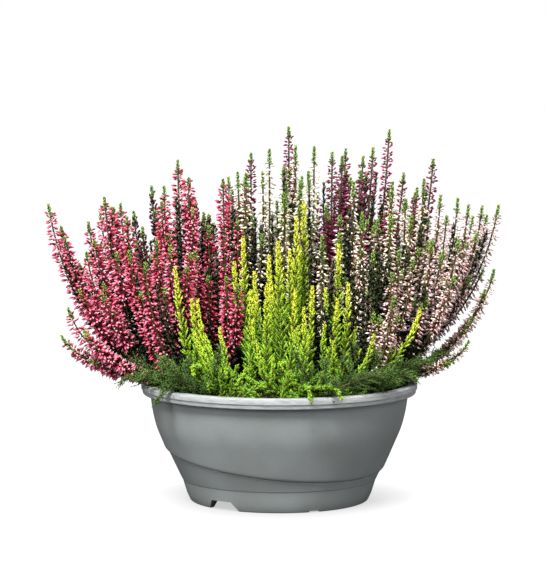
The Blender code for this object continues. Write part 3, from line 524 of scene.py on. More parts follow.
class Growth:
    """The mesh of one piece while it grows. Each point has a form: how far out it is on its own bud or leaf,
    the tone of that bud or leaf, and how young it is, from the old foot of a shoot to its tip."""

    def __init__(self):
        self.points = []
        self.faces = []
        self.finishes = []
        self.forms = []
        self.count = 0

    def add(self, points, faces, finish, out, tone, age):
        self.points.append(points)
        self.faces.append(faces + self.count)
        self.finishes.append(np.full(len(faces), finish))
        form = np.stack(np.broadcast_arrays(out, tone, age, np.ones(len(points))), axis=1)
        self.forms.append(np.clip(form, 0, 1))
        self.count += len(points)

    def set_out(self, shape, origin, aim, across, size, finish, tone, age, curl=0.0):
        """Copies of a shape at each origin, pointing along aim; size is its length, width and thickness."""
        corners, triangles = shape
        top = np.cross(aim, across)
        length, width, thick = (np.broadcast_to(value, len(origin)) for value in size)
        x, y, z = corners.T
        points = (
            origin[:, None]
            + across[:, None] * (x[None] * width[:, None])[..., None]
            + top[:, None] * (y[None] * thick[:, None] + curl * z[None] ** 2 * length[:, None])[..., None]
            + aim[:, None] * (z[None] * length[:, None])[..., None]
        )
        faces = triangles[None] + (np.arange(len(origin)) * len(corners))[:, None, None]
        spread = np.repeat(np.broadcast_to(tone, len(origin)), len(corners))
        years = np.repeat(np.broadcast_to(age, len(origin)), len(corners))
        self.add(points.reshape(-1, 3), faces.reshape(-1, 3), finish, np.tile(z, len(origin)), spread, years)


class Stem:
    """A line with a frame at each distance from its start, turned as little as possible."""

    def __init__(self, path):
        steps = np.linalg.norm(np.diff(path, axis=0), axis=1)
        self.path = path
        self.along = np.concatenate([[0], np.cumsum(steps)])
        self.length = self.along[-1]
        toward = np.gradient(path, self.along, axis=0)
        self.toward = toward / np.linalg.norm(toward, axis=1)[:, None]
        side = np.cross(self.toward[0], (0.31, 0.92, 0.23))
        sides = []
        for direction in self.toward:
            side = side - direction * side.dot(direction)
            side = side / np.linalg.norm(side)
            sides.append(side)
        self.side = np.array(sides)

    def at(self, distance):
        """Middle, direction, side and cross vectors at distances from the start."""
        distance = np.atleast_1d(distance)

        def read(values):
            return np.stack([np.interp(distance, self.along, values[:, axis]) for axis in range(3)], axis=1)

        toward = read(self.toward)
        toward /= np.linalg.norm(toward, axis=1)[:, None]
        side = read(self.side)
        side -= toward * (side * toward).sum(axis=1)[:, None]
        side /= np.linalg.norm(side, axis=1)[:, None]
        return read(self.path), toward, side, np.cross(toward, side)

    def around(self, distance, turn, tilt):
        """For what grows out of the stem: middle, outward vector, aim at a tilt above square, and across vector."""
        middle, toward, side, cross = self.at(distance)
        cos, sin = np.cos(turn)[:, None], np.sin(turn)[:, None]
        out = cos * side + sin * cross
        across = cos * cross - sin * side
        tilt = np.broadcast_to(tilt, len(middle))[:, None]
        aim = np.cos(tilt) * out + np.sin(tilt) * toward
        return middle, out, aim, across


def rings_along(start, end, pitch, around, draw, loose=0.5):
    """Distances and angles of what stands in rings along a stem, each ring turned by half a step."""
    rings = max(1, round((end - start) / pitch))
    ring = np.repeat(np.arange(rings), around)
    place = np.tile(np.arange(around), rings)
    distance = start + (ring + 0.5 + draw.uniform(-loose, loose, len(ring))) * (end - start) / rings
    turn = (place + 0.5 * (ring % 2) + 0.13 * ring + draw.uniform(-0.22, 0.22, len(ring))) * 2 * math.pi / around
    return distance, turn


def grow_tube(growth, stem, radii, sides, rings, finish, tone, ages):
    """A tapering stem along the whole line, closed at its foot and pointed at its end."""
    share = np.linspace(0, 1, rings)
    middle, _, side, cross = stem.at(share * stem.length * 0.995)
    radius = radii[0] + (radii[1] - radii[0]) * share
    turns = 2 * math.pi * np.arange(sides) / sides
    circle = np.cos(turns)[None, :, None] * side[:, None] + np.sin(turns)[None, :, None] * cross[:, None]
    points = (middle[:, None] + radius[:, None, None] * circle).reshape(-1, 3)
    points = np.vstack([points, middle[:1], stem.path[-1:]])
    here = np.arange(sides)
    after = (here + 1) % sides
    faces = [np.stack([np.full(sides, len(points) - 2), after, here], axis=1)]
    for ring in range(rings - 1):
        low, high = ring * sides, (ring + 1) * sides
        faces.append(np.stack([low + here, low + after, high + after], axis=1))
        faces.append(np.stack([low + here, high + after, high + here], axis=1))
    last = (rings - 1) * sides
    faces.append(np.stack([last + here, last + after, np.full(sides, len(points) - 1)], axis=1))
    age = np.append(np.repeat(ages[0] + (ages[1] - ages[0]) * share, sides), ages)
    growth.add(points, np.vstack(faces), finish, 0.5, tone, age)


# What grows on a stem. Every piece has the finishes stem, leaf and bloom, in that order.

STEM_FINISH, LEAF_FINISH, BLOOM_FINISH = range(3)


def grow_leaves(growth, stem, start, end, pitch, around, leaf, lift, tilt, draw, tone, age, finish=LEAF_FINISH, shape=LEAF):
    """Rings of small leaves straight on the stem; tilt, leaf size and age run from the start to the end."""
    distance, turn = rings_along(start, end, pitch, around, draw)
    share = (distance - start) / max(end - start, 1e-6)
    tilts = tilt[0] + (tilt[1] - tilt[0]) * share + draw.uniform(-0.12, 0.12, len(distance))
    middle, out, aim, across = stem.around(distance, turn, tilts)
    size = leaf[2] + (leaf[3] - leaf[2]) * share
    lengths = leaf[0] * size * draw.uniform(0.85, 1.15, len(distance))
    tones = np.clip(tone + draw.uniform(-0.3, 0.3, len(distance)), 0, 1)
    ages = age[0] + (age[1] - age[0]) * share
    size = (lengths, leaf[1] * size, 0.55 * leaf[1] * size)
    growth.set_out(shape, middle + out * lift, aim, across, size, finish, tones, ages, curl=0.12)


def grow_branchlets(growth, stem, distance, turn, angle, length, twig, draw, tone, age, finish):
    """Leafy branchlets out of a stem at an angle to it. They bend up, and their leaves stand round them in threes."""
    middle, out, aim, across = stem.around(distance, turn, math.pi / 2 - angle)
    top = np.cross(aim, across)
    upward = (top * stem.at(distance)[1]).sum(axis=1) > 0
    across = np.where(upward[:, None], across, -across)
    top = np.where(upward[:, None], top, -top)
    bend = twig["bend"]
    body = twig["body"]
    growth.set_out(TWIG, middle, aim, across, (length, body, body), finish, tone, age, curl=bend)
    rings = np.maximum(2, np.round(length / twig["pitch"])).astype(int)
    owner = np.repeat(np.arange(len(length)), rings * 3)
    ring = np.concatenate([np.repeat(np.arange(count), 3) for count in rings])
    share = (ring + 0.6) / rings[owner]
    place = np.concatenate([np.tile(np.arange(3), count) for count in rings])
    spin = (place + 0.5 * (ring % 2)) * 2 * math.pi / 3 + draw.uniform(-0.4, 0.4, len(owner))
    reach = share * length[owner]
    root = middle[owner] + aim[owner] * reach[:, None] + top[owner] * (bend * share * reach)[:, None]
    along = aim[owner] + top[owner] * (2 * bend * share)[:, None]
    along /= np.linalg.norm(along, axis=1)[:, None]
    beside = np.cos(spin)[:, None] * across[owner] + np.sin(spin)[:, None] * np.cross(along, across[owner])
    lean = twig["lean"][0] + (twig["lean"][1] - twig["lean"][0]) * share + draw.uniform(-0.15, 0.15, len(owner))
    leaf_aim = np.cos(lean)[:, None] * beside + np.sin(lean)[:, None] * along
    leaf_across = np.cross(leaf_aim, beside)
    leaf_across /= np.linalg.norm(leaf_across, axis=1)[:, None]
    shrink = 1.0 - 0.3 * share
    lengths = twig["leaf"][0] * shrink * draw.uniform(0.85, 1.15, len(owner))
    widths = twig["leaf"][1] * shrink
    tones = np.clip(np.broadcast_to(tone, len(length))[owner] + draw.uniform(-0.25, 0.25, len(owner)), 0, 1)
    ages = np.broadcast_to(age, len(length))[owner] + 0.22 * (share - 0.4)
    growth.set_out(THORN, root, leaf_aim, leaf_across, (lengths, widths, 0.6 * widths), finish, tones, ages)


def grow_buds(growth, stem, start, end, style, draw, tone):
    """Rings of closed buds between two distances; towards the end they are smaller, steeper and greener."""
    distance, turn = rings_along(start, end, style["pitch"], style["around"], draw)
    young = np.clip(1 - (end - distance) / YOUNG_BUDS, 0, 1)
    kept = draw.random(len(distance)) > BUDS_LACKING[0] + BUDS_LACKING[1] * young
    distance, turn, young = distance[kept], turn[kept], young[kept]
    tilt = style["aim"][0] + draw.normal(0, 1, len(distance)) * style["aim"][1] + 0.45 * young
    middle, out, aim, across = stem.around(distance, turn, tilt)
    length = style["bud"][0] * draw.uniform(*BUD_STRETCH, len(distance)) * (1 - YOUNG_SHRINK[0] * young)
    width = style["bud"][1] * draw.uniform(0.88, 1.12, len(distance)) * (1 - YOUNG_SHRINK[1] * young)
    tones = np.clip(tone + draw.normal(0, 0.24, len(distance)), 0, 1)
    growth.set_out(BUD, middle + out * 0.9 * MM, aim, across, (length, width, width), BLOOM_FINISH, tones, young)


def grow_sprigs(growth, stem, start, end, draw, tone):
    """Dark leafy sprigs on the lower stem, below the flowers."""
    if end - start < SPRIG_PITCH:
        return
    distance, turn = rings_along(start, end, SPRIG_PITCH, 2, draw)
    length = draw.uniform(*SPRIG_LENGTH, len(distance))
    angle = draw.uniform(28, 55, len(distance)) * DEGREE
    age = 0.15 + 0.25 * draw.random(len(distance))
    grow_branchlets(growth, stem, distance, turn, angle, length, TWIGS["sprig"], draw, tone, age, LEAF_FINISH)


def dress_flower_shoot(growth, path, plant, draw, bare=0.0):
    """Stem, leaves, sprigs, buds and green end of a flowering shoot; nothing grows on its first bare length."""
    style = FLOWERS[plant]
    stem = Stem(path)
    tone = draw.uniform(0.15, 0.68)
    spike = style["spike"] * draw.uniform(0.8, 1.2) * (1 if bare else SIDE_SPIKE)
    top = stem.length - spike
    start = max(top - style["flowers"] * stem.length, bare)
    thick = STEM_THICK if bare else (1.1 * STEM_THICK[1], STEM_THICK[1])
    grow_tube(growth, stem, thick, 4, 12, STEM_FINISH, tone, (0.0, 0.8))
    grow_buds(growth, stem, start, top, style, draw, tone)
    grow_leaves(
        growth, stem, start, top, style["pitch"] * 1.5, 2, (*STEM_LEAF, 1.0, 1.0), 0.5 * MM, (0.5, 0.7), draw,
        tone, (0.35, 0.9), shape=THORN,
    )
    grow_leaves(
        growth, stem, top - 5 * MM, stem.length - 1.6 * MM, SPIKE_PITCH, 4, (*SPIKE_LEAF, 1.0, 0.9), 0.5 * MM,
        (0.6, 1.1), draw, tone, (0.75, 1.0),
    )
    if start - bare > STEM_LEAF_PITCH:
        grow_leaves(
            growth, stem, bare, start, STEM_LEAF_PITCH, 3, (*STEM_LEAF, 1.0, 1.0), 0.8 * MM, (0.5, 0.7), draw,
            tone, (0.1, 0.4), shape=THORN,
        )
        if bare:
            grow_sprigs(growth, stem, bare, start, draw, tone)
    return stem


def dress_painted_shade_shoot(growth, path, draw):
    """A leafy shoot without flowers that stands inside the spray, its leaves near black as painted shade."""
    stem = Stem(path)
    tone = draw.uniform(0.1, 0.6)
    grow_tube(growth, stem, (STEM_THICK[1], STEM_THICK[1]), 3, 7, STEM_FINISH, tone, (0.0, 0.3))
    # Leaves at the darkest, oldest end of the leaf tones: painted shade
    grow_leaves(
        growth, stem, 0, stem.length - 2 * MM, DARK_PITCH, 4, (*DARK_LEAF, 1.0, 0.6), 0.4 * MM, (0.35, 0.9), draw,
        tone, (0.0, 0.14), shape=THORN,
    )


def side_line(stem, draw, starts=SIDE_SHOOT_START, ends=SIDE_SHOOT_END, outs=SIDE_SHOOT_OUT):
    """The line of a side shoot that leaves a stem on its inner side, draws away from it and rises beside it."""
    begin, end, out = draw.uniform(*starts), draw.uniform(*ends), draw.uniform(*outs)
    turn = draw.uniform(0, 2 * math.pi)
    share = np.linspace(0, 1, 14)
    middle, _, side, cross = stem.at((begin + (end - begin) * share) * stem.length)
    away = math.cos(turn) * side[0] + math.sin(turn) * cross[0]
    away[2] = 0.25 * away[2]
    outward = level(stem.path[-1])
    away -= 2 * max(away.dot(outward), 0) * outward
    swing = out * (1 - (1 - share) ** 2.2)
    return middle + away * swing[:, None]


def skirt_line(root, style, draw):
    """The line of a short shoot that leaves the compost beside a spray's root, leans out and turns up."""
    turn = math.atan2(root[1], root[0]) + draw.uniform(-SKIRT_TURN, SKIRT_TURN)
    out = np.array([math.cos(turn), math.sin(turn)])
    begin = root + out * SKIRT_START
    end = root + out * draw.uniform(*SKIRT_REACH)
    end *= min(1, style["skirt_limit"] / np.linalg.norm(end))
    end[1] = min(end[1], SKIRT_BACK)
    ground = soil_height(np.linalg.norm(begin)) - 2 * MM
    rise = draw.uniform(*style["skirt_rise"])
    start = np.array([*begin, ground])
    tip = np.array([*end, ground + rise])
    second = np.array([*(begin + 0.35 * (end - begin)), ground + 0.5 * rise])
    third = np.array([*(begin + 0.85 * (end - begin)), ground + 0.7 * rise])
    return bezier(start, second, third, tip, 12)


def dress_leafy_shoot(growth, path, plant, draw, bare=0.0, age=(0.05, 1.0)):
    """A leafy shoot: its stem and its branchlets, shorter and brighter towards the tip."""
    style = FOLIAGE[plant]
    leaf = TWIGS[plant]["leaf"]
    stem = Stem(path)
    tone = draw.uniform(0.3, 0.7)
    grow_tube(growth, stem, style["thick"], 5, 14, STEM_FINISH, tone, (0.1, 0.9))
    end = stem.length - 3 * MM
    distance, turn = rings_along(bare, end, style["pitch"], style["around"], draw)
    below = np.clip((stem.length - distance) / style["reach"], 0, 1)
    length = style["branch"][0] + (style["branch"][1] - style["branch"][0]) * below**0.8
    length *= draw.uniform(0.72, 1.18, len(distance))
    angle = (style["angle"][0] + (style["angle"][1] - style["angle"][0]) * below) * DEGREE
    angle += draw.uniform(-0.12, 0.12, len(distance))
    youth = LOW_YOUTH + (1 - LOW_YOUTH) * np.clip((path[-1][2] - BOWL_HEIGHT) / FULL_YOUTH, 0, 1)
    age = (age[0], age[1] * youth)
    ages = age[0] + (age[1] - age[0]) * distance / stem.length
    grow_branchlets(growth, stem, distance, turn, angle, length, TWIGS[plant], draw, tone, ages, BLOOM_FINISH)
    grow_leaves(
        growth, stem, max(bare, end - 22 * MM), stem.length - 1.2 * MM, 1.5 * MM, 3, (*leaf, 1.1, 0.95),
        0.5 * MM, (0.7, 1.15), draw, tone, (age[1] * 0.85, age[1]), BLOOM_FINISH,
    )
    return stem


# The bowl and its compost

def arc_corner(before, corner, after, radius, steps=4):
    """Points that round a corner of an outline."""
    before, corner, after = map(np.array, (before, corner, after))
    into, out = corner - before, after - corner
    reach_in = min(radius, 0.45 * np.linalg.norm(into))
    reach_out = min(radius, 0.45 * np.linalg.norm(out))
    start = corner - into / np.linalg.norm(into) * reach_in
    end = corner + out / np.linalg.norm(out) * reach_out
    share = np.linspace(0, 1, steps)[:, None]
    return list((1 - share) ** 2 * start + 2 * share * (1 - share) * corner + share**2 * end)


def smooth_outline(corners, radii):
    """The outline with every corner rounded by its radius; a radius of 0 keeps it sharp."""
    points = [np.array(corners[0])]
    for k in range(1, len(corners) - 1):
        if radii[k]:
            points += arc_corner(corners[k - 1], corners[k], corners[k + 1], radii[k])
        else:
            points.append(np.array(corners[k]))
    points.append(np.array(corners[-1]))
    return points


def fine_bowl_section(angle):
    """The bowl's cut outline at an angle as (radius, height), with its moulded edges rounded."""
    wave = float(wave_height(angle))
    below_wave = wave - FINE_STEP_HEIGHT
    floor_top = FLOOR_UNDERSIDE + FLOOR_THICKNESS
    band_bottom = BOWL_HEIGHT - RIM_DEPTH
    groove = BOWL_HEIGHT - RIM_GROOVE_HEIGHT
    recess = FOOT_RADIUS - FOOT_RING_WIDTH
    corners = [(recess, FLOOR_UNDERSIDE), (recess + 1 * MM, 0), (FOOT_RADIUS - 0.3 * MM, 0)]
    rounding = [0, 1.2 * MM, 1.4 * MM]
    for share in (0.35, 0.7):
        height = share * (FOOT_LINE - FOOT_LINE_HEIGHT)
        corners.append((smooth_profile(height), height))
        rounding.append(0)
    corners += [
        (smooth_profile(FOOT_LINE), FOOT_LINE - FOOT_LINE_HEIGHT),
        (smooth_profile(FOOT_LINE) + FOOT_LINE_STEP, FOOT_LINE),
    ]
    rounding += [0.2 * MM, 0.5 * MM]
    for share in (0.35, 0.7):
        height = FOOT_LINE + share * (below_wave - FOOT_LINE)
        corners.append((smooth_profile(height) + FOOT_LINE_STEP, height))
        rounding.append(0)
    crease = smooth_profile(below_wave) + FOOT_LINE_STEP
    corners += [
        (crease, below_wave),
        (crease - CREASE_DEPTH, below_wave + 0.5 * CREASE_WIDTH),
        (crease + CREASE_DEPTH, below_wave + CREASE_WIDTH),
        (smooth_profile(wave) + WAVE_STEP, wave),
    ]
    rounding += [0.25 * MM, 0.2 * MM, 0.6 * MM, 3.0 * MM]
    for share in np.linspace(0, 1, BODY_ROWS + 1)[1:-1]:
        height = wave + share * (band_bottom - wave)
        corners.append((smooth_profile(height) + WAVE_STEP * (1 - share), height))
        rounding.append(0)
    corners += [
        (smooth_profile(band_bottom), band_bottom),
        (RIM_RADIUS - RIM_STEP - RIM_LEAN, band_bottom),
        (RIM_RADIUS - RIM_STEP, groove),
        (RIM_RADIUS, groove + 0.3 * MM),
        (RIM_RADIUS, BOWL_HEIGHT),
        (RIM_RADIUS - RIM_WIDTH, BOWL_HEIGHT),
    ]
    rounding += [0.8 * MM, 1.1 * MM, 0.25 * MM, 0.5 * MM, 1.7 * MM, 1.5 * MM]
    for height in np.linspace(BOWL_HEIGHT - 12 * MM, floor_top + 8 * MM, BODY_ROWS):
        corners.append((inner_radius(height), height))
        rounding.append(0)
    corners.append((inner_radius(floor_top) - 4 * MM, floor_top))
    rounding.append(0)
    return smooth_outline(corners, rounding)


def turned(name, section_at, sides):
    """A closed body whose cut outline at each angle is section_at(angle), from the bottom middle to the top."""
    outlines = np.array([section_at(2 * math.pi * side / sides) for side in range(sides)])
    turns = 2 * math.pi * np.arange(sides) / sides
    x = outlines[..., 0] * np.cos(turns)[:, None]
    y = outlines[..., 0] * np.sin(turns)[:, None]
    points = np.stack([x, y, outlines[..., 1]], axis=2).reshape(-1, 3)
    rows = outlines.shape[1]
    faces = []
    for side in range(sides):
        here, there = side * rows, (side + 1) % sides * rows
        faces += [(here + row, there + row, there + row + 1, here + row + 1) for row in range(rows - 1)]
    faces.append([side * rows for side in reversed(range(sides))])
    faces.append([side * rows + rows - 1 for side in range(sides)])
    mesh = bpy.data.meshes.new(name)
    mesh.from_pydata(points.tolist(), [], faces)
    made = bpy.data.objects.new(name, mesh)
    bpy.context.scene.collection.objects.link(made)
    return made


def cut(body, points, faces):
    """Takes a closed shape out of the body."""
    mesh = bpy.data.meshes.new("cutter")
    mesh.from_pydata(points, [], faces)
    cutter = bpy.data.objects.new("cutter", mesh)
    bpy.context.scene.collection.objects.link(cutter)
    modifier = body.modifiers.new("cut", "BOOLEAN")
    modifier.operation = "DIFFERENCE"
    modifier.solver = "EXACT"
    modifier.object = cutter
    graph = bpy.context.evaluated_depsgraph_get()
    result = bpy.data.meshes.new_from_object(body.evaluated_get(graph))
    body.modifiers.clear()
    body.data = result
    bpy.data.objects.remove(cutter)


def prism(outline, along_start, along_end):
    """Corners and faces of a prism between two ends, each the outline's points moved by that end's function."""
    count = len(outline)
    points = [along_start(point) for point in outline] + [along_end(point) for point in outline]
    faces = [list(reversed(range(count))), list(range(count, 2 * count))]
    for k in range(count):
        after = (k + 1) % count
        faces.append([k, after, after + count, k + count])
    return points, faces


def build_bowl(finish):
    bowl = turned("planter_bowl", fine_bowl_section, BOWL_SIDES)
    points, faces = [], []

    def gather(shape):
        faces.extend([corner + len(points) for corner in face] for face in shape[1])
        points.extend(shape[0])

    for angle, width, top in FOOT_GAPS:
        half, half_top = width / 2, width / 2 * (1 - FOOT_GAP_NARROWING)
        outline = [(-half, -2 * MM), (half, -2 * MM), (half_top, top), (-half_top, top)]
        ends = (FOOT_RADIUS - 2 * FOOT_RING_WIDTH, FOOT_RADIUS + FOOT_RING_WIDTH)

        def at(radius, angle=angle):
            return lambda point: (
                radius * math.cos(angle) - point[0] * math.sin(angle),
                radius * math.sin(angle) + point[0] * math.cos(angle),
                point[1],
            )

        gather(prism(outline, at(ends[0]), at(ends[1])))
    turns = [2 * math.pi * side / DRAIN_SIDES for side in range(DRAIN_SIDES)]
    circle = [(DRAIN_RADIUS * math.cos(turn), DRAIN_RADIUS * math.sin(turn)) for turn in turns]
    for hole in range(DRAIN_COUNT):
        angle = 2 * math.pi * (hole + 0.5) / DRAIN_COUNT
        x, y = DRAIN_RING_RADIUS * math.cos(angle), DRAIN_RING_RADIUS * math.sin(angle)

        def at_height(height, x=x, y=y):
            return lambda point: (x + point[0], y + point[1], height)

        low, high = FLOOR_UNDERSIDE - 2 * MM, FLOOR_UNDERSIDE + FLOOR_THICKNESS + 2 * MM
        gather(prism(circle, at_height(low), at_height(high)))
    cut(bowl, points, faces)
    bowl.data.materials.clear()
    bowl.data.materials.append(finish)
    bowl.data.shade_smooth()
    bowl.data.set_sharp_from_angle(angle=math.radians(32))
    claim(bowl, "bowl")


def build_compost(finishes, draw):
    """A domed bed of compost, roughened, with loose crumbs and bits of bark pressed into its top."""
    growth = Growth()
    rings = np.linspace(0, 1, SOIL_ROWS) ** 0.8
    turns = 2 * math.pi * np.arange(SOIL_SIDES) / SOIL_SIDES
    radius = np.repeat(rings[1:] * (SOIL_RADIUS - 2 * SEAT_GAP), SOIL_SIDES)
    angle = np.tile(turns, SOIL_ROWS - 1)
    height = soil_height(radius) + draw.uniform(-1.1, 0.5, len(radius)) * MM
    top = np.stack([radius * np.cos(angle), radius * np.sin(angle), height], axis=1)
    floor = FLOOR_UNDERSIDE + FLOOR_THICKNESS + SEAT_GAP
    skirt = []
    for level_height in (60 * MM, 32 * MM, floor):
        inset = 2 * SEAT_GAP if level_height > floor else 4.5 * MM
        edge = inner_radius(level_height) - inset
        skirt.append(np.stack([edge * np.cos(turns), edge * np.sin(turns), np.full(SOIL_SIDES, level_height)], axis=1))
    points = np.vstack([[[0, 0, SOIL_CROWN_HEIGHT]], top, *skirt, [[0, 0, floor]]])
    here = np.arange(SOIL_SIDES)
    after = (here + 1) % SOIL_SIDES
    faces = [np.stack([np.zeros(SOIL_SIDES, int), 1 + here, 1 + after], axis=1)]
    bands = SOIL_ROWS - 1 + len(skirt)
    for band in range(bands - 1):
        inner, outer = 1 + band * SOIL_SIDES, 1 + (band + 1) * SOIL_SIDES
        faces.append(np.stack([inner + here, outer + here, outer + after], axis=1))
        faces.append(np.stack([inner + here, outer + after, inner + after], axis=1))
    last = 1 + (bands - 1) * SOIL_SIDES
    faces.append(np.stack([np.full(SOIL_SIDES, len(points) - 1), last + after, last + here], axis=1))
    growth.add(points, np.vstack(faces), 0, 0.5, 0.3, 0.0)
    for count, sizes, flat, finish in CRUMBS:
        away = (SOIL_RADIUS - 4 * MM) * np.sqrt(draw.random(count))
        turn = draw.uniform(0, 2 * math.pi, count)
        length = draw.uniform(*sizes, count)
        origin = np.stack([away * np.cos(turn), away * np.sin(turn), soil_height(away) - 0.2 * length], axis=1)
        aim = draw.normal(0, 1, (count, 3))
        aim[:, 2] = np.abs(aim[:, 2]) * 0.35 + 0.1
        aim /= np.linalg.norm(aim, axis=1)[:, None]
        across = np.cross(aim, draw.normal(0, 1, (count, 3)))
        across /= np.linalg.norm(across, axis=1)[:, None]
        wide = length * draw.uniform(0.55, 0.95, count) * flat
        growth.set_out(CRUMB, origin, aim, across, (length, wide, wide * 0.75), finish, draw.random(count), 0.5)
    claim(growth_object("compost_bed", growth, finishes, smooth=False), "compost")


# Pieces

def growth_object(name, growth, finishes, smooth=True):
    mesh = bpy.data.meshes.new(name)
    mesh.from_pydata(np.concatenate(growth.points), [], np.concatenate(growth.faces))
    for finish in finishes:
        mesh.materials.append(finish)
    mesh.polygons.foreach_set("material_index", np.concatenate(growth.finishes).astype(np.int32))
    form = mesh.color_attributes.new("form", "FLOAT_COLOR", "POINT")
    form.data.foreach_set("color", np.concatenate(growth.forms).astype(np.float32).ravel())
    if smooth:
        mesh.shade_smooth()
    mesh.update()
    made = bpy.data.objects.new(name, mesh)
    bpy.context.scene.collection.objects.link(made)
    return made


def claim(piece, node):
    """The piece rides with the planting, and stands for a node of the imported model."""
    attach(piece, "root")
    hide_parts(node)


def build_planting(laid, finishes):
    """One piece for each spray: its shoots, and the finer side shoots that fill it out."""
    counts = {}
    for index, (plant, root, paths) in enumerate(laid):
        counts[plant] = counts.get(plant, 0) + 1
        draw = np.random.default_rng(1000 + index)
        growth = Growth()
        style = FLOWERS.get(plant) or FOLIAGE[plant]
        dress = dress_flower_shoot if plant in FLOWERS else dress_leafy_shoot
        foot = np.array([*root, soil_height(math.hypot(*root)) - STEM_HOLE_DEPTH + SEAT_GAP])
        for branch, path in enumerate(paths):
            line = path if branch else np.vstack([foot, path])
            bare = 6 * MM if branch else STEM_HOLE_DEPTH + 2 * MM
            stem = dress(growth, line, plant, draw, bare)
            for _ in range(style["sides"]):
                dress(growth, side_line(stem, draw), plant, draw)
            # Painted shade: dark shoots with near-black leaves fill the gaps inside the spray
            for _ in range(DARK_SHOOTS if plant in FLOWERS else 0):
                dress_painted_shade_shoot(growth, side_line(stem, draw, DARK_START, DARK_END, DARK_OUT), draw)
        # Painted shade: more dark shoots with near-black leaves round the spray's root
        for _ in range(DARK_SKIRT["skirt"] if plant in FLOWERS else 0):
            dress_painted_shade_shoot(growth, skirt_line(root, DARK_SKIRT, draw), draw)
        for _ in range(style.get("skirt", 0)):
            dress(growth, skirt_line(root, style, draw), plant, draw, age=SKIRT_AGE)
        number = f"{counts[plant]:02d}"
        family = "foliage" if plant in FOLIAGE else "heather"
        piece = growth_object(f"{plant}_{family}_{number}", growth, finishes[plant])
        claim(piece, f"{plant}_spray_{number}")


# Finishes

def linear(colour):
    """The linear colour of one given as sRGB from 0 to 255, with an alpha of 1."""
    shares = [value / 255 for value in colour]
    return (*(((s + 0.055) / 1.055) ** 2.4 if s > 0.04 else s / 12.92 for s in shares), 1.0)


def add_node(tree, kind, inputs=None, **settings):
    """A shader node with its settings; an input is a value, or the output socket that feeds it."""
    made = tree.nodes.new("ShaderNode" + kind)
    for name, value in settings.items():
        setattr(made, name, value)
    for name, value in (inputs or {}).items():
        if isinstance(value, bpy.types.NodeSocket):
            tree.links.new(value, made.inputs[name])
        else:
            made.inputs[name].default_value = value
    return made


def mix(tree, factor, first, second, blend="MIX"):
    made = tree.nodes.new("ShaderNodeMix")
    made.data_type = "RGBA"
    made.blend_type = blend
    sockets = [made.inputs["Factor"], made.inputs[6], made.inputs[7]]
    for socket, value in zip(sockets, (factor, first, second), strict=True):
        if isinstance(value, bpy.types.NodeSocket):
            tree.links.new(value, socket)
        else:
            socket.default_value = value
    return made.outputs[2]


def ramp(tree, factor, stops):
    """Colours that run along a value; stops are positions with their sRGB colours."""
    made = add_node(tree, "ValToRGB", {"Fac": factor})
    elements = made.color_ramp.elements
    elements[0].position, elements[0].color = stops[0][0], linear(stops[0][1])
    elements[1].position, elements[1].color = stops[-1][0], linear(stops[-1][1])
    for position, colour in stops[1:-1]:
        elements.new(position).color = linear(colour)
    return made.outputs["Color"]


def spread(tree, value, low, high, start=0.0, end=1.0, smooth=False):
    """The value, mapped from start..end to low..high."""
    made = add_node(tree, "MapRange", {"Value": value, "From Min": start, "From Max": end, "To Min": low, "To Max": high})
    if smooth:
        made.interpolation_type = "SMOOTHSTEP"
    return made.outputs["Result"]


def noise(tree, place, size, detail=2.0):
    """Noise whose lumps are about size across, in metres."""
    made = add_node(tree, "TexNoise", {"Vector": place, "Scale": 1 / size, "Detail": detail})
    return made.outputs["Fac"]


def new_finish(name):
    made = bpy.data.materials.new(name)
    made.use_nodes = True
    tree = made.node_tree
    place = add_node(tree, "TexCoord").outputs["Object"]
    return made, tree, tree.nodes["Principled BSDF"], place


def finish_surface(tree, shader, colour, rough, grain, depth, strength):
    """Feeds the shader its colour, a roughness that varies with the grain, and the grain as bump."""
    tree.links.new(colour, shader.inputs["Base Color"])
    tree.links.new(spread(tree, grain, rough[0], rough[1], 0.3, 0.7), shader.inputs["Roughness"])
    bump = add_node(tree, "Bump", {"Height": grain, "Distance": depth, "Strength": strength})
    tree.links.new(bump.outputs["Normal"], shader.inputs["Normal"])


def plant_finish(name, deep, bright, young=None):
    """A plant's colours. With young given, they run from a bud's root to its tip, and to the young colours near
    the shoot's end; otherwise they run from the shoot's old foot to its tip. deep and bright are its two tones."""
    made, tree, shader, place = new_finish(name)
    form = add_node(tree, "Attribute", attribute_name="form").outputs["Color"]
    parts = add_node(tree, "SeparateColor", {"Color": form}).outputs
    out, tone, age = parts["Red"], parts["Green"], parts["Blue"]
    run = out if young else age
    colour = mix(tree, tone, ramp(tree, run, deep), ramp(tree, run, bright))
    if young:
        colour = mix(tree, spread(tree, age, 0, 1, 0.3, 0.95, smooth=True), colour, ramp(tree, out, young))
    else:
        # Painted shade: each leaf and branchlet is darker towards its root on the stem, where shade falls among the
        # crowded leaves
        colour = mix(tree, 1.0, colour, ramp(tree, out, ((0.0, (96, 96, 96)), (0.7, (255, 255, 255)))), "MULTIPLY")
    grain = noise(tree, place, 1.1 * MM)
    mottle = ramp(tree, grain, ((0.3, (214, 214, 214)), (0.7, (255, 255, 255))))
    colour = mix(tree, 1.0, colour, mottle, "MULTIPLY")
    shader.inputs["Specular IOR Level"].default_value = 0.22
    finish_surface(tree, shader, colour, (0.42, 0.62), grain, 0.2 * MM, 0.35)
    return made


def bark_finish(name, dark, light, size, rough=(0.75, 0.95)):
    """Rough brown matter, such as stems, compost and bark."""
    made, tree, shader, place = new_finish(name)
    grain = noise(tree, place, size, 6.0)
    patches = noise(tree, place, size * 7)
    colour = ramp(tree, grain, ((0.32, dark), (0.68, light)))
    shade = ramp(tree, patches, ((0.3, (170, 170, 170)), (0.7, (255, 255, 255))))
    colour = mix(tree, 1.0, colour, shade, "MULTIPLY")
    shader.inputs["Specular IOR Level"].default_value = 0.25
    finish_surface(tree, shader, colour, rough, grain, 0.5 * size, 0.6)
    return made


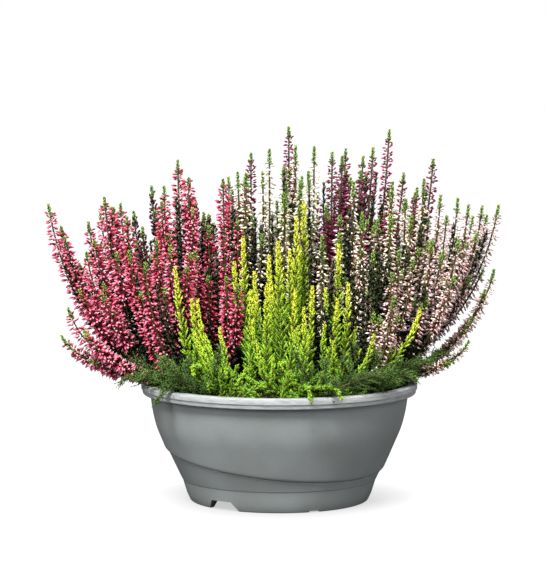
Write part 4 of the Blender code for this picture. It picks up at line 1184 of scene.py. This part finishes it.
def plastic_finish():
    """Satin moulded plastic: a fine grain, faint cloudy tones, and a paler rim, its streaks wear from rubbing and its
    paleness partly painted light.
    """
    made, tree, shader, place = new_finish("grey_plastic")
    height = add_node(tree, "SeparateXYZ", {"Vector": place}).outputs["Z"]
    band_bottom = BOWL_HEIGHT - RIM_DEPTH
    on_rim = spread(tree, height, 0, 1, band_bottom - 0.4 * MM, band_bottom + 0.4 * MM)
    clouds = noise(tree, place, 45 * MM)
    body = ramp(tree, clouds, ((0.35, PLASTIC_TONES[0]), (0.65, PLASTIC_TONES[1])))
    streaks = add_node(tree, "Mapping", {"Vector": place, "Scale": (1, 1, 9)}).outputs["Vector"]
    # Partly painted light: the rim band is paler than the body so that it looks brightly lit; its streaked tones are
    # wear from rubbing
    rim_wear_and_light = ramp(tree, noise(tree, streaks, 9 * MM, 5.0), ((0.3, RIM_TONES[0]), (0.7, RIM_TONES[1])))
    colour = mix(tree, on_rim, body, rim_wear_and_light)
    grain = noise(tree, place, 0.8 * MM, 3.0)
    speckle = ramp(tree, grain, ((0.3, (238, 238, 238)), (0.7, (255, 255, 255))))
    colour = mix(tree, 1.0, colour, speckle, "MULTIPLY")
    finish_surface(tree, shader, colour, (0.40, 0.50), grain, 0.15 * MM, 0.25)
    return made


# sRGB colours of the finishes
PLASTIC_TONES = ((124, 129, 128), (134, 139, 139))
# The rim's tones: paler than the body, partly painted light and partly wear from rubbing
RIM_TONES = ((136, 140, 140), (172, 175, 175))
# Leaves as deep and bright tones, old to young; the near-black old end is painted shade, used mostly by the dark
# shoots inside the sprays
STEM_TONES = ((54, 42, 27), (116, 106, 56))
LEAF_TONES = (
    ((0.0, (14, 22, 12)), (0.4, (36, 62, 26)), (0.8, (86, 128, 46)), (1.0, (118, 160, 58))),
    ((0.0, (24, 38, 18)), (0.4, (62, 98, 38)), (0.8, (122, 166, 62)), (1.0, (156, 196, 82))),
)
# For each plant: its deep and bright tones and, for buds, the colours of the young ones
BLOOM_TONES = {
    "pink": (
        ((0.0, (70, 40, 28)), (0.2, (142, 12, 38)), (0.6, (206, 34, 72)), (0.85, (236, 100, 134)), (1.0, (252, 204, 212))),
        ((0.0, (120, 60, 46)), (0.18, (214, 48, 92)), (0.5, (246, 100, 146)), (0.75, (255, 178, 198)), (1.0, (255, 240, 242))),
        ((0.0, (66, 70, 34)), (0.35, (142, 24, 42)), (1.0, (196, 58, 78))),
    ),
    "maroon": (
        ((0.0, (22, 20, 16)), (0.3, (42, 12, 22)), (1.0, (70, 24, 36))),
        ((0.0, (40, 36, 24)), (0.3, (76, 22, 38)), (0.8, (104, 34, 52)), (1.0, (140, 66, 84))),
        ((0.0, (36, 56, 28)), (0.5, (58, 50, 34)), (1.0, (84, 42, 44))),
    ),
    "white": (
        ((0.0, (104, 112, 50)), (0.22, (206, 184, 138)), (0.6, (246, 226, 198)), (1.0, (255, 244, 222))),
        ((0.0, (140, 146, 76)), (0.2, (240, 226, 190)), (0.6, (255, 250, 230)), (1.0, (255, 255, 244))),
        ((0.0, (92, 130, 50)), (0.5, (160, 180, 104)), (1.0, (222, 226, 178))),
    ),
    "purple": (
        ((0.0, (40, 24, 24)), (0.25, (68, 10, 36)), (0.6, (102, 16, 54)), (1.0, (150, 56, 92))),
        ((0.0, (74, 42, 38)), (0.2, (140, 22, 78)), (0.6, (190, 42, 112)), (1.0, (232, 132, 172))),
        ((0.0, (60, 78, 38)), (0.5, (96, 40, 50)), (1.0, (134, 56, 76))),
    ),
    "rose": (
        ((0.0, (92, 80, 44)), (0.25, (180, 118, 110)), (0.6, (230, 176, 172)), (1.0, (252, 224, 214))),
        ((0.0, (126, 116, 68)), (0.2, (234, 192, 182)), (0.6, (255, 230, 226)), (1.0, (255, 250, 244))),
        ((0.0, (98, 120, 56)), (0.5, (154, 128, 92)), (1.0, (204, 176, 144))),
    ),
    "lime": (
        ((0.0, (64, 110, 26)), (0.25, (112, 164, 38)), (0.6, (146, 190, 40)), (0.85, (190, 206, 46)), (1.0, (212, 210, 52))),
        ((0.0, (104, 156, 40)), (0.25, (156, 210, 58)), (0.6, (186, 222, 58)), (0.85, (218, 228, 66)), (1.0, (234, 230, 76))),
    ),
    "green": (
        ((0.0, (18, 34, 14)), (0.2, (50, 82, 34)), (0.45, (88, 122, 54)), (1.0, (112, 150, 64))),
        ((0.0, (38, 64, 28)), (0.2, (84, 122, 54)), (0.45, (128, 164, 80)), (1.0, (150, 184, 90))),
    ),
}


def make_finishes():
    """The finishes of every plant, as stem, leaf and bloom."""
    stem = bark_finish("stem_bark", *STEM_TONES, 0.9 * MM)
    leaf = plant_finish("heather_leaf", *LEAF_TONES)
    return {plant: [stem, leaf, plant_finish(f"{plant}_bloom", *tones)] for plant, tones in BLOOM_TONES.items()}


# Camera, light and floor

def set_camera():
    data = bpy.data.cameras.new("camera")
    data.lens = CAMERA_LENS
    data.sensor_width = 36
    data.clip_end = 100
    camera = bpy.data.objects.new("camera", data)
    camera.location = CAMERA_PLACE
    camera.rotation_euler = (math.pi / 2 - CAMERA_DOWN, 0, 0)
    bpy.context.scene.collection.objects.link(camera)
    bpy.context.scene.camera = camera


def add_light(name, kind, energy, azimuth, elevation, distance, **settings):
    """A light that looks at the planting from an azimuth, to the left of the camera if negative, and elevation."""
    data = bpy.data.lights.new(name, kind)
    data.energy = energy
    for key, value in settings.items():
        setattr(data, key, value)
    light = bpy.data.objects.new(name, data)
    flat = distance * math.cos(elevation)
    middle = 0.5 * PLANTING_HEIGHT
    light.location = (flat * math.sin(azimuth), -flat * math.cos(azimuth), middle + distance * math.sin(elevation))
    light.rotation_euler = (math.pi / 2 - elevation, 0, azimuth)
    bpy.context.scene.collection.objects.link(light)


def set_stage():
    """A plain white floor and a white surround that glow a little, so that shadows stay pale."""
    mesh = bpy.data.meshes.new("floor")
    half = FLOOR_SIZE / 2
    mesh.from_pydata([(-half, -half, 0), (half, -half, 0), (half, half, 0), (-half, half, 0)], [], [(0, 1, 2, 3)])
    made, tree, shader, place = new_finish("white_floor")
    grain = noise(tree, place, 2 * MM)
    colour = ramp(tree, grain, ((0.3, (70, 70, 70)), (0.7, (74, 74, 74))))
    tree.links.new(colour, shader.inputs["Base Color"])
    shader.inputs["Roughness"].default_value = 0.9
    shader.inputs["Specular IOR Level"].default_value = 0.1
    shader.inputs["Emission Color"].default_value = (1, 1, 1, 1)
    # Painted shadow: the floor's glow, as the camera sees it, dims near the bowl's foot and anything else close above
    # it
    open_share = add_node(tree, "AmbientOcclusion", {"Distance": CONTACT_REACH}).outputs["AO"]
    seen = add_node(tree, "LightPath").outputs["Is Camera Ray"]
    glow = add_node(tree, "Math", operation="MULTIPLY")
    tree.links.new(spread(tree, open_share, *FLOOR_GLOW), glow.inputs[0])
    tree.links.new(seen, glow.inputs[1])
    tree.links.new(glow.outputs[0], shader.inputs["Emission Strength"])
    mesh.materials.append(made)
    floor = bpy.data.objects.new("floor", mesh)
    bpy.context.scene.collection.objects.link(floor)
    world = bpy.data.worlds.new("white")
    world.use_nodes = True
    tree = world.node_tree
    strength = spread(tree, add_node(tree, "LightPath").outputs["Is Camera Ray"], WORLD_LIGHT, 1.0)
    tree.nodes["Background"].inputs["Color"].default_value = (1, 1, 1, 1)
    tree.links.new(strength, tree.nodes["Background"].inputs["Strength"])
    bpy.context.scene.world = world
    bpy.context.scene.view_settings.view_transform = "Standard"


set_camera()
set_stage()
add_light("key", "SUN", 7.4, -22 * DEGREE, 54 * DEGREE, 3, angle=24 * DEGREE)
add_light("window", "AREA", 26, -30 * DEGREE, 20 * DEGREE, 2.2, size=0.9)
add_light("fill", "AREA", 22, 62 * DEGREE, 18 * DEGREE, 2.2, size=1.5)
add_light("back", "AREA", 38, 196 * DEGREE, 34 * DEGREE, 2.4, size=1.8)
build_bowl(plastic_finish())
build_compost(
    [bark_finish("compost", (26, 18, 13), (74, 55, 40), 1.6 * MM), bark_finish("bark", (52, 34, 22), (128, 92, 62), 1.2 * MM)],
    np.random.default_rng(5),
)
build_planting(lay_out(), make_finishes())
